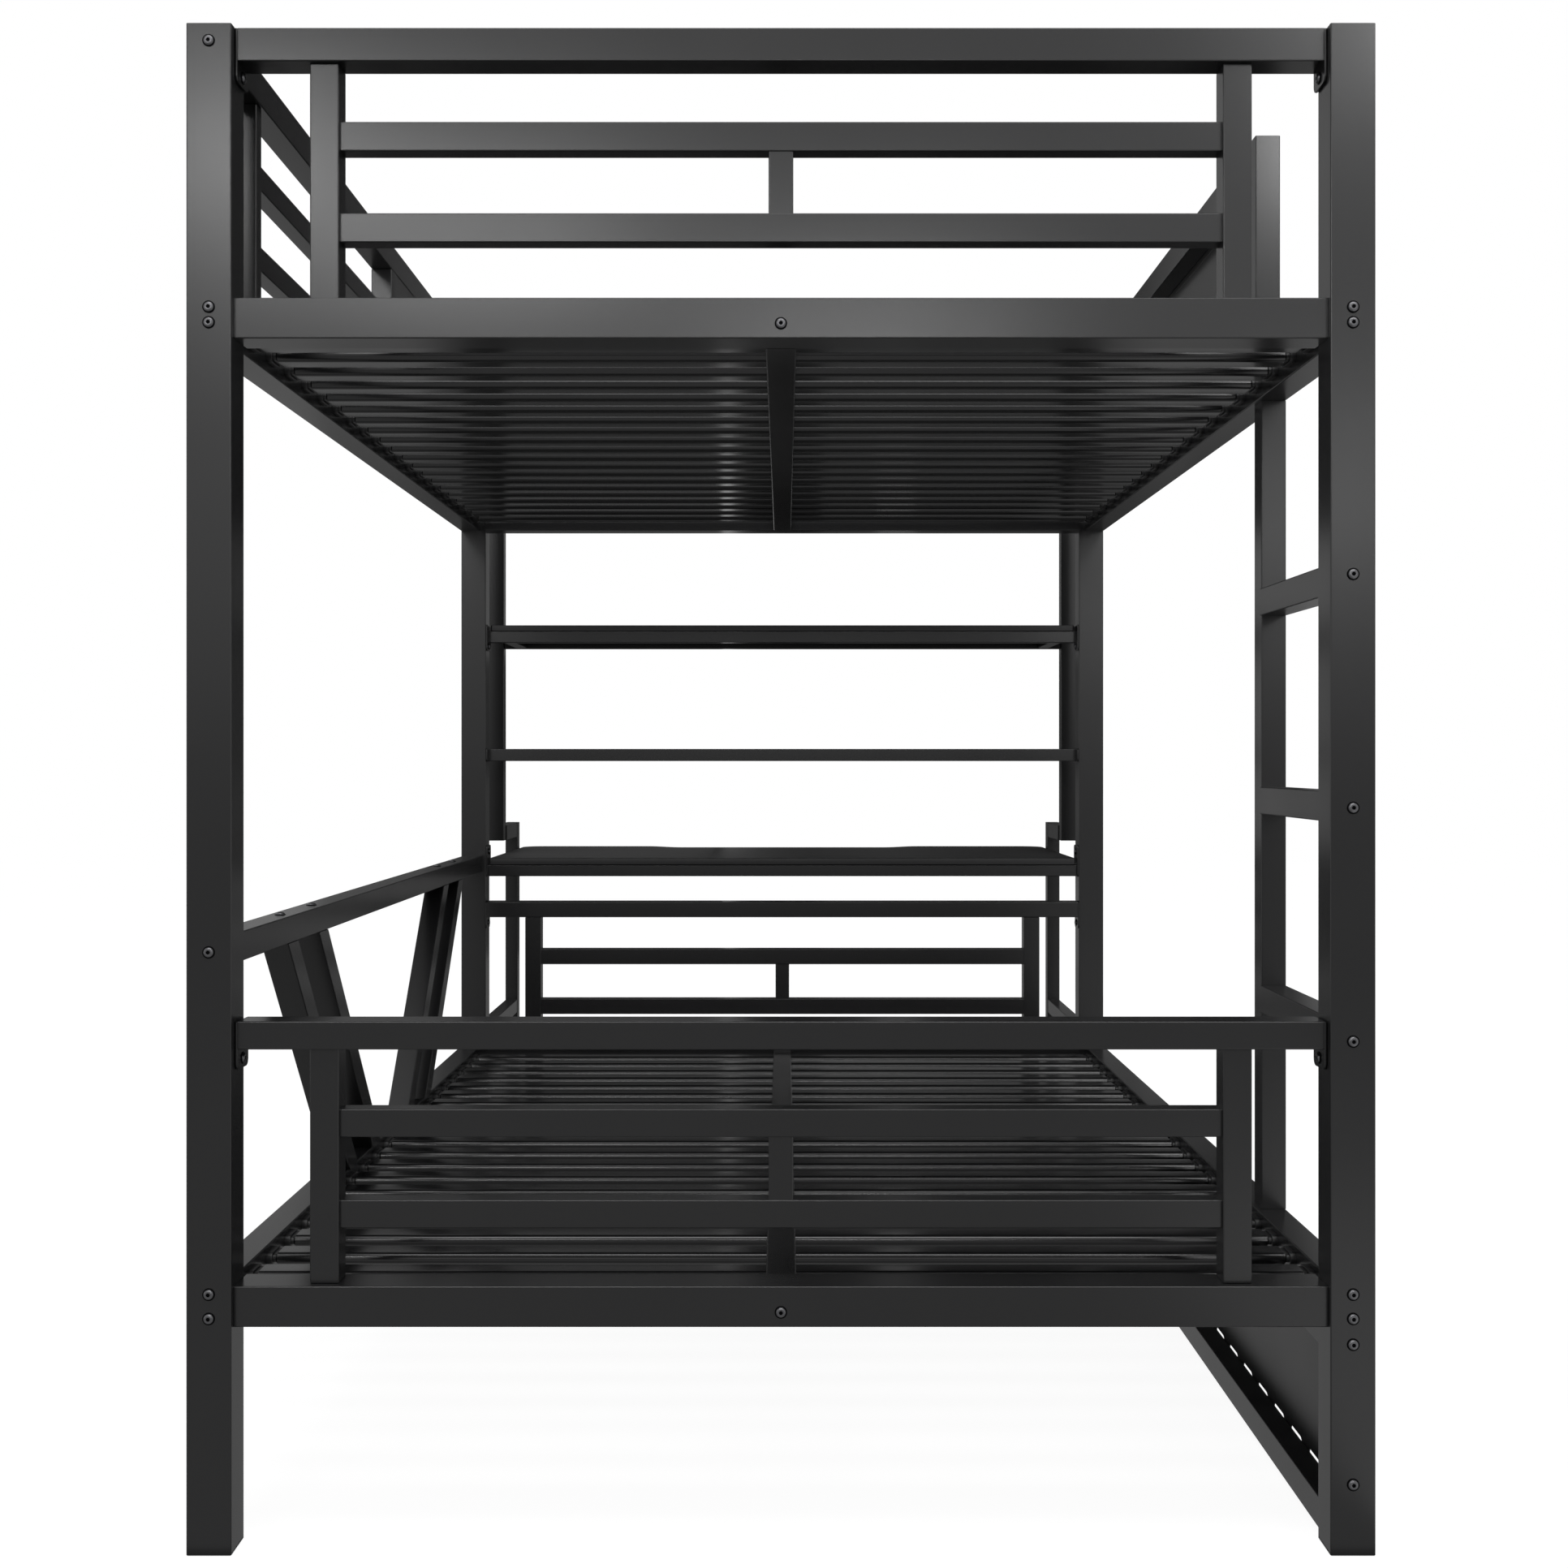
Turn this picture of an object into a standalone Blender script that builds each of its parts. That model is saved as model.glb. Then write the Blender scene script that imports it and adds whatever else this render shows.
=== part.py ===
"""Metal bunk bed with a desk and shelves at its far end, in metres, with +Z up.

X runs across the bed, Y along it from the near end to the desk, and Z up from the floor.
While a piece is made, Y is measured from the front faces of the near posts. The whole bed
then hangs on one empty, which puts the middle of its footprint at the origin.
Every tube is hollow. Tubes that are welded on the real bed are one solid with one
hollow inside, and pieces that only touch keep a small gap between their faces.
"""

import math
from collections import namedtuple

import bmesh
import bpy
from mathutils import Vector

X, Y, Z = range(3)
ENDS = ("near", "far")
SIDES = {"left": -1, "right": 1}
LEFT, RIGHT = SIDES.values()

# Whole frame: outer faces of the four posts
FRAME_WIDTH = 1.420
FRAME_DEPTH = 2.014
FRAME_HEIGHT = 1.830

# Gap between faces that touch, and the cut of a tube's long edges
TOUCH_GAP = 0.0003
TUBE_EDGE = 0.0022
EDGE_PER_WALL_SHARE = 1.9

# Posts and the walls of all tubes
POST_WIDTH = 0.054
POST_WALL = 0.0012
TUBE_WALL = 0.0010

# Plastic caps in open tube ends
CAP_FLANGE = 0.003
CAP_PLUG = 0.018
CLOSED_END = 0.002

# Welds: how deep a tube's end sinks into the wall that it meets, and the cuts' overrun
WELD_SINK = 0.0006
CUT_OVERRUN = 0.002

# Undersides of the two bed frames: the upper one from the posts' tops, the lower from the floor
UPPER_BED_DROP = 0.3745
LOWER_BED_BOTTOM = 0.270

# End rails and side rails of a bed frame
END_RAIL_SETBACK = 0.010
END_RAIL_DEPTH = 0.058
END_RAIL_HEIGHT = 0.049
SIDE_RAIL_WIDTH = 0.041
SIDE_RAIL_HEIGHT = 0.048

# Top rails of the end frames, with the plates that bolt them to the posts
TOP_RAIL_SETBACK = 0.015
TOP_RAIL_DEPTH = 0.046
UPPER_TOP_RAIL_HEIGHT = 0.040
LOWER_TOP_RAIL_HEIGHT = 0.034
LOWER_TOP_RAIL_RISE = 0.366
PLATE_THICKNESS = 0.003
PLATE_DROP = 0.025
PLATE_MARGIN = 0.001
PLATE_CORNER = 0.009
PLATE_BOLT_DROP = 0.013

# Bars inside the end frames
BAR_INSET = 0.088
BAR_WIDTH = 0.035
BAR_SETBACK = 0.023
BAR_DEPTH = 0.038
CROSSBAR_SETBACK = 0.030
CROSSBAR_DEPTH = 0.029
UPPER_CROSSBAR_HEIGHT = 0.0355
UPPER_CROSSBAR_RISES = (0.1205, 0.2310)
LOWER_CROSSBAR_HEIGHT = 0.034
LOWER_CROSSBAR_RISES = (0.114, 0.224)
CENTRE_UPRIGHT_WIDTH = 0.030
CENTRE_UPRIGHT_DEPTH = 0.025

# Centre beams, slats and the sockets that hold the slats on the side rails
BEAM_WIDTH = 0.038
BEAM_HEIGHT = 0.036
SLAT_COUNT = 20
SLAT_END_SPACE = 0.0669
SLAT_WIDTH = 0.042
SLAT_THICKNESS = 0.014
SLAT_EDGE = 0.0045
UPPER_SLAT_RISE = 0.009
LOWER_SLAT_RISE = 0.019
SOCKET_THICKNESS = 0.005
SOCKET_RIM = 0.003
SOCKET_CORNER = 0.006

# Left guard of the upper bed
GUARD_TOP_HEIGHT = 0.042
GUARD_TOP_WIDTH = 0.035
GUARD_RAIL_WIDTH = 0.024
GUARD_RAIL_HEIGHT = 0.031
GUARD_RAIL_RISES = (0.1255, 0.2295)
GUARD_UPRIGHT_START = 0.160
GUARD_UPRIGHT_WIDTH = 0.026
GUARD_UPRIGHT_DEPTH = 0.025
GUARD_CENTRE_WIDTH = 0.035
GUARD_CENTRE_DEPTH = 0.040

# Right guard of the upper bed: one upright by the ladder, a top rail and a sheet
RIGHT_GUARD_INSET = 0.007
RIGHT_GUARD_WIDTH = 0.035
RIGHT_UPRIGHT_DEPTH = 0.035
GUARD_SHEET_INSET = 0.009
SHEET_THICKNESS = 0.0015

# Ladder on the right side, beside the near post
LADDER_CLEAR_WIDTH = 0.356
LADDER_POST_WIDTH = 0.035
LADDER_POST_DEPTH = 0.040
RUNG_WIDTH = 0.037
RUNG_HEIGHT = 0.038
TOP_RUNG_DROP = 0.2835
BOTTOM_RUNG_RISE = 0.296
RUNG_COUNT = 3

# Left brace of the lower bed: one rail on four leaning struts
BRACE_RAIL_SIZE = 0.037
BRACE_RISE = 0.421
STRUT_WIDTH = 0.035
STRUT_LEAN = math.radians(44.0)
STRUT_TOP_SHARES = (0.162, 0.248)

# Sheet panel under the right side of the lower bed
PANEL_RAIL_INSET = 0.019
PANEL_RAIL_WIDTH = 0.032
PANEL_TOP_RAIL_HEIGHT = 0.035
FLOOR_RAIL_BOTTOM = 0.008
FLOOR_RAIL_HEIGHT = 0.039
PANEL_BOTTOM = 0.012
SLOT_TOP = 0.052
SLOT_LENGTH = 0.056
SLOT_END_SPACE = 0.053
SLOT_COUNT = 21
SHEET_END_CLEARANCE = 0.001
TAB_HEIGHT = 0.046
TAB_BOLT_HEIGHT = 0.085

# Desk top past the far posts, with a shallow recess in its back edge
DESK_TOP = 0.732
BOARD_THICKNESS = 0.015
DESK_SIDE_CLEARANCE = 0.001
DESK_FRONT_INSET = 0.006
DESK_REACH = 0.544
DESK_CORNER = 0.050
RECESS_HALF_WIDTH = 0.250
RECESS_RUN = 0.090
RECESS_DEPTH = 0.062
RECESS_STEPS = 6
CORNER_STEPS = 5

# Steel under and beside the desk top
DESK_RAIL_SIZE = 0.025
DESK_RAIL_SETBACK = 0.010
BRACKET_RISE = 0.028
BRACKET_INSET = 0.001
BRACKET_BOLT_RISE = 0.014
SIDE_FRAME_INSET = 0.006
LEG_WIDTH = 0.030
LEG_DEPTH = 0.036
LEG_REACH = 0.412
SIDE_TUBE_HEIGHT = 0.035
LEG_RISE = 0.064
WELD_STEP = 0.001
LOW_RAIL_HEIGHT = 0.032
LOW_RAIL_TOP = 0.362

# Shelf unit over the desk
UPRIGHT_SIZE = 0.035
UPRIGHT_REACH = 0.204
UPRIGHT_RISE = 0.0585
SPIGOT_LENGTH = 0.040
SHELF_TUBE_DEPTH = 0.025
SHELF_TUBE_SETBACK = 0.027
SHELF_SIDE_INSET = 0.024
UPPER_SHELF_DROP = 0.2449
UPPER_SHELF_TUBE_HEIGHT = 0.0254
SHELF_BOARD_THICKNESS = 0.013
SHELF_PLATE_DROP = 0.018
SHELF_BOLT_DROP = 0.009
LOWER_SHELF_PLACE_SHARE = 0.4492
LOWER_SHELF_HEIGHT = 0.027

# Bolt heads, each one solid with the piece that it clamps
BOLT_HEAD_RADIUS = 0.0075
BOLT_CROWN_RADIUS = 0.0050
BOLT_HEAD_HEIGHT = 0.0035
BOLT_SIDES = 8
UPPER_SIDE_BOLT_RISES = (0.0170, 0.0355)
LOWER_SIDE_BOLT_RISES = (0.013, 0.042)

# Places that follow from the sizes above
POST_INNER_X = FRAME_WIDTH / 2 - POST_WIDTH
POST_CENTRE_X = FRAME_WIDTH / 2 - POST_WIDTH / 2
POST_BACK_Y = POST_WIDTH
FAR_POST_Y = FRAME_DEPTH - POST_WIDTH
MIDDLE_Y = FRAME_DEPTH / 2
UPPER_BED_BOTTOM = FRAME_HEIGHT - UPPER_BED_DROP
UPPER_SIDE_TOP = UPPER_BED_BOTTOM + SIDE_RAIL_HEIGHT
LOWER_SIDE_TOP = LOWER_BED_BOTTOM + SIDE_RAIL_HEIGHT
SIDE_RAIL_INNER_X = FRAME_WIDTH / 2 - SIDE_RAIL_WIDTH
GUARD_BOTTOM = FRAME_HEIGHT - GUARD_TOP_HEIGHT
BAR_OUTER_X = POST_INNER_X - BAR_INSET
BED_INNER_Y = END_RAIL_SETBACK + END_RAIL_DEPTH
TOP_RUNG_HEIGHT = UPPER_BED_BOTTOM - TOP_RUNG_DROP
BOTTOM_RUNG_HEIGHT = LOWER_SIDE_TOP + BOTTOM_RUNG_RISE
BRACE_RAIL_TOP = LOWER_SIDE_TOP + BRACE_RISE
BRACE_RAIL_BOTTOM = BRACE_RAIL_TOP - BRACE_RAIL_SIZE
LADDER_POST_Y = POST_BACK_Y + LADDER_CLEAR_WIDTH
RIGHT_UPRIGHT_Y = LADDER_POST_Y + LADDER_POST_DEPTH - RIGHT_UPRIGHT_DEPTH
BOARD_BOTTOM = DESK_TOP - BOARD_THICKNESS
DESK_BACK_Y = FRAME_DEPTH + DESK_REACH
LEG_FRONT_Y = FRAME_DEPTH + LEG_REACH
UPRIGHT_FRONT_Y = FRAME_DEPTH + UPRIGHT_REACH
SIDE_FRAME_HALF_WIDTH = POST_INNER_X - SIDE_FRAME_INSET
DESK_HALF_WIDTH = SIDE_FRAME_HALF_WIDTH - DESK_SIDE_CLEARANCE
BRACKET_TOP = DESK_TOP + BRACKET_RISE
LEG_TOP = DESK_TOP + LEG_RISE
SIDE_TUBE_TOP = LEG_TOP - WELD_STEP
SIDE_TUBE_BOTTOM = SIDE_TUBE_TOP - SIDE_TUBE_HEIGHT
UPRIGHT_TOP = UPPER_BED_BOTTOM + UPRIGHT_RISE
UPRIGHT_JOINT = (SIDE_TUBE_BOTTOM + UPRIGHT_TOP) / 2
UPPER_SHELF_TUBE_BOTTOM = UPPER_BED_BOTTOM - UPPER_SHELF_DROP
LOWER_SHELF_BOTTOM = DESK_TOP + (UPPER_SHELF_TUBE_BOTTOM - DESK_TOP) * LOWER_SHELF_PLACE_SHARE
PLATE_OUTER_X = POST_INNER_X - TOUCH_GAP
PLATE_INNER_X = PLATE_OUTER_X - PLATE_THICKNESS
SOCKET_INNER_X = SIDE_RAIL_INNER_X - SOCKET_THICKNESS
SHELF_FRONT_Y = FAR_POST_Y + SHELF_TUBE_SETBACK
UPPER_BOARD_BOTTOM = UPPER_SHELF_TUBE_BOTTOM + UPPER_SHELF_TUBE_HEIGHT + TOUCH_GAP
FOOTPRINT_MIDDLE_Y = (DESK_BACK_Y - BOLT_HEAD_HEIGHT) / 2

# A tube to be welded: its outer box, the axis that it runs along, whether its high end is
# closed, and the cut along its edges where that is wider than usual
Tube = namedtuple("Tube", "box run closed wide_cut", defaults=(False, None))

LEVELS = {
    "upper": {
        "bed": UPPER_BED_BOTTOM,
        "rail_top": FRAME_HEIGHT,
        "rail_height": UPPER_TOP_RAIL_HEIGHT,
        "crossbar_height": UPPER_CROSSBAR_HEIGHT,
        "crossbar_rises": UPPER_CROSSBAR_RISES,
        "slat_rise": UPPER_SLAT_RISE,
        "bolt_rises": UPPER_SIDE_BOLT_RISES,
    },
    "lower": {
        "bed": LOWER_BED_BOTTOM,
        "rail_top": LOWER_BED_BOTTOM + LOWER_TOP_RAIL_RISE,
        "rail_height": LOWER_TOP_RAIL_HEIGHT,
        "crossbar_height": LOWER_CROSSBAR_HEIGHT,
        "crossbar_rises": LOWER_CROSSBAR_RISES,
        "slat_rise": LOWER_SLAT_RISE,
        "bolt_rises": LOWER_SIDE_BOLT_RISES,
    },
}


def clear_scene():
    for thing in list(bpy.data.objects):
        bpy.data.objects.remove(thing, do_unlink=True)


def make_material(name, colour, roughness, metallic):
    material = bpy.data.materials.new(name)
    material.use_nodes = True
    shader = material.node_tree.nodes["Principled BSDF"]
    shader.inputs["Base Color"].default_value = (*colour, 1.0)
    shader.inputs["Roughness"].default_value = roughness
    shader.inputs["Metallic"].default_value = metallic
    return material


def finish_object(name, mesh, parent, material=None):
    """Turns the built geometry into a named object that hangs on the bed's empty."""
    bmesh.ops.recalc_face_normals(mesh, faces=mesh.faces)
    data = bpy.data.meshes.new(name)
    mesh.to_mesh(data)
    mesh.free()
    if material:
        data.materials.append(material)
    thing = bpy.data.objects.new(name, data)
    bpy.context.scene.collection.objects.link(thing)
    thing.parent = parent
    return thing


def combine(thing, name, mesh, operation):
    """Joins a hidden helper mesh to a piece, or cuts it away."""
    helper = finish_object(f"{thing.name}_{name}", mesh, thing.parent)
    helper.hide_render = True
    helper.display_type = "WIRE"
    modifier = thing.modifiers.new(name, "BOOLEAN")
    modifier.operation = operation
    modifier.solver = "EXACT"
    modifier.object = helper


def depth_span(end, setback, depth):
    """Front and back of a piece that stands in from the outer face of the near or far posts."""
    if end == "near":
        return setback, setback + depth
    return FRAME_DEPTH - setback - depth, FRAME_DEPTH - setback


def side_span(side, inset, width):
    """Low and high X of a piece that stands in from the outer faces of the posts."""
    outer = FRAME_WIDTH / 2 - inset
    inner = outer - width
    return (inner, outer) if side == RIGHT else (-outer, -inner)


def flank_span(side, inner, outer):
    """Low and high X of a piece between two distances from the middle of the bed."""
    return (inner, outer) if side == RIGHT else (-outer, -inner)


def centred_span(side, width):
    """Low and high X of a piece on the centre line of the posts."""
    return side_span(side, (POST_WIDTH - width) / 2, width)


def corners(x_span, y_span, z_span):
    """The lowest and highest corners of a box from its three spans."""
    spans = (x_span, y_span, z_span)
    return Vector([span[0] for span in spans]), Vector([span[1] for span in spans])


def between(low, high):
    """A span that keeps the touching gap at both of its ends."""
    return low + TOUCH_GAP, high - TOUCH_GAP


def welded_between(low, high):
    """A span whose ends sink into the walls of the tubes that it joins."""
    return low - WELD_SINK, high + WELD_SINK


def section_axes(run):
    """The two axes of a section, in the turning order that makes the run its normal."""
    return (run + 1) % 3, (run + 2) % 3


def add_ring(mesh, points, run, place, shift=(0.0, 0.0, 0.0)):
    """Adds the points of a section as vertices at one place along the run."""
    across, up = section_axes(run)
    ring = []
    for first, second in points:
        spot = Vector(shift)
        spot[run] += place
        spot[across] += first
        spot[up] += second
        ring.append(mesh.verts.new(spot))
    return ring


def cut_outline(box, run, cut=TUBE_EDGE, inset=0.0):
    """The eight points of a box's section with its corners cut, starting low and left."""
    low, high = box
    across, up = section_axes(run)
    left, right = low[across] + inset, high[across] - inset
    bottom, top = low[up] + inset, high[up] - inset
    return [
        (left + cut, bottom),
        (right - cut, bottom),
        (right, bottom + cut),
        (right, top - cut),
        (right - cut, top),
        (left + cut, top),
        (left, top - cut),
        (left, bottom + cut),
    ]


def plain_outline(box, run, inset=0.0):
    """The four points of a box's section, moved in from its sides."""
    low, high = box
    across, up = section_axes(run)
    left, right = low[across] + inset, high[across] - inset
    bottom, top = low[up] + inset, high[up] - inset
    return [(left, bottom), (right, bottom), (right, top), (left, top)]


def tube_edge(wall):
    """The cut along a tube's long edges, kept thin enough to leave its wall whole."""
    return min(TUBE_EDGE, wall * EDGE_PER_WALL_SHARE)


def skin_between(mesh, first, second):
    """Quads between two rings with as many points."""
    count = len(first)
    for index in range(count):
        after = (index + 1) % count
        mesh.faces.new((first[index], first[after], second[after], second[index]))


def skin_ring(mesh, outer, inner):
    """Closes the face between an eight-point ring and the four points inside it."""
    for index in range(4):
        after = (index + 1) % 4
        edge_start, edge_end = outer[2 * index], outer[2 * index + 1]
        next_start = outer[(2 * index + 2) % len(outer)]
        mesh.faces.new((edge_start, edge_end, inner[after], inner[index]))
        mesh.faces.new((edge_end, next_start, inner[after]))


def add_tube(mesh, box, run, wall=TUBE_WALL, shift=(0.0, 0.0, 0.0)):
    """Adds a tube that is open at both ends. A shift moves its far end sideways."""
    low, high = box
    outer = cut_outline(box, run, tube_edge(wall))
    inner = plain_outline(box, run, wall)
    outer_start = add_ring(mesh, outer, run, low[run])
    outer_end = add_ring(mesh, outer, run, high[run], shift)
    inner_start = add_ring(mesh, inner, run, low[run])
    inner_end = add_ring(mesh, inner, run, high[run], shift)
    skin_between(mesh, outer_start, outer_end)
    skin_between(mesh, inner_start, inner_end)
    skin_ring(mesh, outer_start, inner_start)
    skin_ring(mesh, outer_end, inner_end)


def add_closed_tube(mesh, box, wall=TUBE_WALL):
    """Adds an upright tube with an open foot and a closed top."""
    low, high = box
    outer = cut_outline(box, Z, tube_edge(wall))
    inner = plain_outline(box, Z, wall)
    outer_foot = add_ring(mesh, outer, Z, low[Z])
    outer_top = add_ring(mesh, outer, Z, high[Z])
    inner_foot = add_ring(mesh, inner, Z, low[Z])
    inner_top = add_ring(mesh, inner, Z, high[Z] - CLOSED_END)
    skin_ring(mesh, outer_foot, inner_foot)
    skin_between(mesh, outer_foot, outer_top)
    skin_between(mesh, inner_foot, inner_top)
    mesh.faces.new(outer_top)
    mesh.faces.new(inner_top)


def add_prism(mesh, outline, run, start, end):
    """Adds a solid with one outline from a start to an end along its run."""
    first = add_ring(mesh, outline, run, start)
    second = add_ring(mesh, outline, run, end)
    skin_between(mesh, first, second)
    mesh.faces.new(first)
    mesh.faces.new(second)


def add_block(mesh, box, run, cut=TUBE_EDGE):
    """Adds a solid bar or board with the edges along its run cut."""
    add_prism(mesh, cut_outline(box, run, cut), run, box[0][run], box[1][run])


def add_sheet(mesh, box):
    """Adds a flat plate or sheet with square edges."""
    add_prism(mesh, plain_outline(box, Z), Z, box[0][Z], box[1][Z])


def bore_outline(tube):
    """The hollow's section. It has cut corners only inside a wide cut."""
    if not tube.wide_cut:
        return plain_outline(tube.box, tube.run, TUBE_WALL)
    cut = tube.wide_cut - TUBE_WALL * (2.0 - math.sqrt(2.0))
    return cut_outline(tube.box, tube.run, cut, TUBE_WALL)


def add_bore(mesh, tube):
    """Adds the hollow of a welded tube, which runs on through the walls that it meets."""
    low, high = tube.box
    reach = TUBE_WALL + CUT_OVERRUN
    start = low[tube.run] - reach
    end = high[tube.run] - CLOSED_END if tube.closed else high[tube.run] + reach
    add_prism(mesh, bore_outline(tube), tube.run, start, end)


def add_foot(mesh, box, wall):
    """Adds a plastic foot: a flange under an upright tube and a plug inside it."""
    floor = box[0][Z]
    seat = floor + CAP_FLANGE
    flange = cut_outline(box, Z, tube_edge(wall))
    plug = plain_outline(box, Z, wall + TOUCH_GAP)
    flange_face = add_ring(mesh, flange, Z, floor)
    flange_seat = add_ring(mesh, flange, Z, seat)
    plug_seat = add_ring(mesh, plug, Z, seat)
    plug_tip = add_ring(mesh, plug, Z, seat + CAP_PLUG)
    mesh.faces.new(flange_face)
    skin_between(mesh, flange_face, flange_seat)
    skin_ring(mesh, flange_seat, plug_seat)
    skin_between(mesh, plug_seat, plug_tip)
    mesh.faces.new(plug_tip)


def add_head(mesh, seat, direction):
    """Adds a bolt head that rises from a face and sinks a little into it."""
    turn = direction.to_track_quat("Z", "Y")
    profile = (
        (-WELD_SINK, BOLT_HEAD_RADIUS),
        (0.0, BOLT_HEAD_RADIUS),
        (BOLT_HEAD_HEIGHT, BOLT_CROWN_RADIUS),
    )
    rings = []
    for height, radius in profile:
        ring = []
        for index in range(BOLT_SIDES):
            angle = math.tau * index / BOLT_SIDES
            spot = Vector((radius * math.cos(angle), radius * math.sin(angle), height))
            ring.append(mesh.verts.new(seat + turn @ spot))
        rings.append(ring)
    for first, second in zip(rings, rings[1:]):
        skin_between(mesh, first, second)
    mesh.faces.new(rings[0])
    mesh.faces.new(rings[-1])


def add_heads_to(thing, seats):
    """Puts bolt heads on a piece, at seats given as a point and an outward direction."""
    mesh = bmesh.new()
    for seat, direction in seats:
        add_head(mesh, seat, direction)
    combine(thing, "bolt_heads", mesh, "UNION")


def tube_piece(name, box, run, parent, material):
    mesh = bmesh.new()
    add_tube(mesh, box, run)
    return finish_object(name, mesh, parent, material)


def weld(name, parent, material, groups, plates=None):
    """Makes one solid of groups of tubes. The tubes of one group don't touch each other."""
    thing = None
    for index, group in enumerate(groups):
        mesh = bmesh.new()
        for tube in group:
            add_block(mesh, tube.box, tube.run, tube.wide_cut or tube_edge(TUBE_WALL))
        if thing:
            combine(thing, f"join_{index}", mesh, "UNION")
        else:
            thing = finish_object(name, mesh, parent, material)
    if plates:
        combine(thing, "plates", plates, "UNION")
    for index, group in enumerate(groups):
        mesh = bmesh.new()
        for tube in group:
            add_bore(mesh, tube)
        combine(thing, f"bore_{index}", mesh, "DIFFERENCE")
    return thing


def outward(end):
    """The direction out of the bed at its near or far end."""
    return Vector((0.0, -1.0 if end == "near" else 1.0, 0.0))


def even_places(first, last, count):
    """Middles of a row of pieces, spread evenly from the first to the last."""
    return [first + (last - first) * index / (count - 1) for index in range(count)]


def rung_heights():
    return even_places(TOP_RUNG_HEIGHT, BOTTOM_RUNG_HEIGHT, RUNG_COUNT)


def post_bolt_heights(end, side):
    """Heights of the bolts that pass from the outer face of one post into the rails."""
    heights = []
    for level in LEVELS.values():
        heights += [level["bed"] + rise for rise in level["bolt_rises"]]
    guard_bolt = FRAME_HEIGHT - GUARD_TOP_HEIGHT / 2
    if side == LEFT:
        heights += [guard_bolt, BRACE_RAIL_TOP - BRACE_RAIL_SIZE / 2]
        return heights
    heights += [LOWER_BED_BOTTOM - TOUCH_GAP - PANEL_TOP_RAIL_HEIGHT / 2, TAB_BOLT_HEIGHT]
    if end == "near":
        heights += rung_heights()
    else:
        heights.append(guard_bolt)
    return heights


def post_seats(end, side):
    """Seats of the bolt heads on the outer face of one post."""
    face = 0.0 if end == "near" else FRAME_DEPTH
    x = side * POST_CENTRE_X
    return [(Vector((x, face, z)), outward(end)) for z in post_bolt_heights(end, side)]


def plate_seats(y, z):
    """Seats of the two bolt heads on the inner faces of a pair of end plates."""
    seats = []
    for side in SIDES.values():
        seats.append((Vector((side * PLATE_INNER_X, y, z)), Vector((-side, 0.0, 0.0))))
    return seats


def strut_top_places():
    """Y of the middles of the four strut tops, mirrored about the middle of the bed."""
    near = [FRAME_DEPTH * share for share in STRUT_TOP_SHARES]
    return near + [FRAME_DEPTH - y for y in reversed(near)]


def build_posts(parent, steel, plastic):
    """Four closed-top posts with their bolt heads, and a plastic foot under each."""
    for end in ENDS:
        y_span = depth_span(end, 0.0, POST_WIDTH)
        for side_name, side in SIDES.items():
            x_span = side_span(side, 0.0, POST_WIDTH)
            foot = bmesh.new()
            add_foot(foot, corners(x_span, y_span, (0.0, FRAME_HEIGHT)), POST_WALL)
            finish_object(f"{end}_{side_name}_foot", foot, parent, plastic)
            tube = bmesh.new()
            tube_foot = CAP_FLANGE + TOUCH_GAP
            add_closed_tube(tube, corners(x_span, y_span, (tube_foot, FRAME_HEIGHT)), POST_WALL)
            post = finish_object(f"{end}_{side_name}_post", tube, parent, steel)
            add_heads_to(post, post_seats(end, side))


def plate_outline(y_span, z_span):
    """An end plate seen along X, with its two lower corners cut."""
    front, back = y_span
    bottom, top = z_span
    return [
        (front + PLATE_CORNER, bottom),
        (back - PLATE_CORNER, bottom),
        (back, bottom + PLATE_CORNER),
        (back, top),
        (front, top),
        (front, bottom + PLATE_CORNER),
    ]


def end_plates(outline):
    """A pair of plates against the inner faces of two posts."""
    mesh = bmesh.new()
    for side in SIDES.values():
        low, high = flank_span(side, PLATE_INNER_X, PLATE_OUTER_X)
        add_prism(mesh, outline, X, low, high)
    return mesh


def build_top_rail(end, level_name, parent, steel):
    """A top rail welded between two end plates, with the bolts that hold them on the posts."""
    level = LEVELS[level_name]
    top = level["rail_top"]
    bottom = top - level["rail_height"]
    y_span = depth_span(end, TOP_RAIL_SETBACK, TOP_RAIL_DEPTH)
    rail = Tube(corners(welded_between(-PLATE_INNER_X, PLATE_INNER_X), y_span, (bottom, top)), X)
    plate_y = (y_span[0] - PLATE_MARGIN, y_span[1] + PLATE_MARGIN)
    plates = end_plates(plate_outline(plate_y, (bottom - PLATE_DROP, top - PLATE_MARGIN)))
    thing = weld(f"{end}_{level_name}_top_rail", parent, steel, [[rail]], plates)
    add_heads_to(thing, plate_seats(sum(y_span) / 2, bottom - PLATE_BOLT_DROP))


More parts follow.
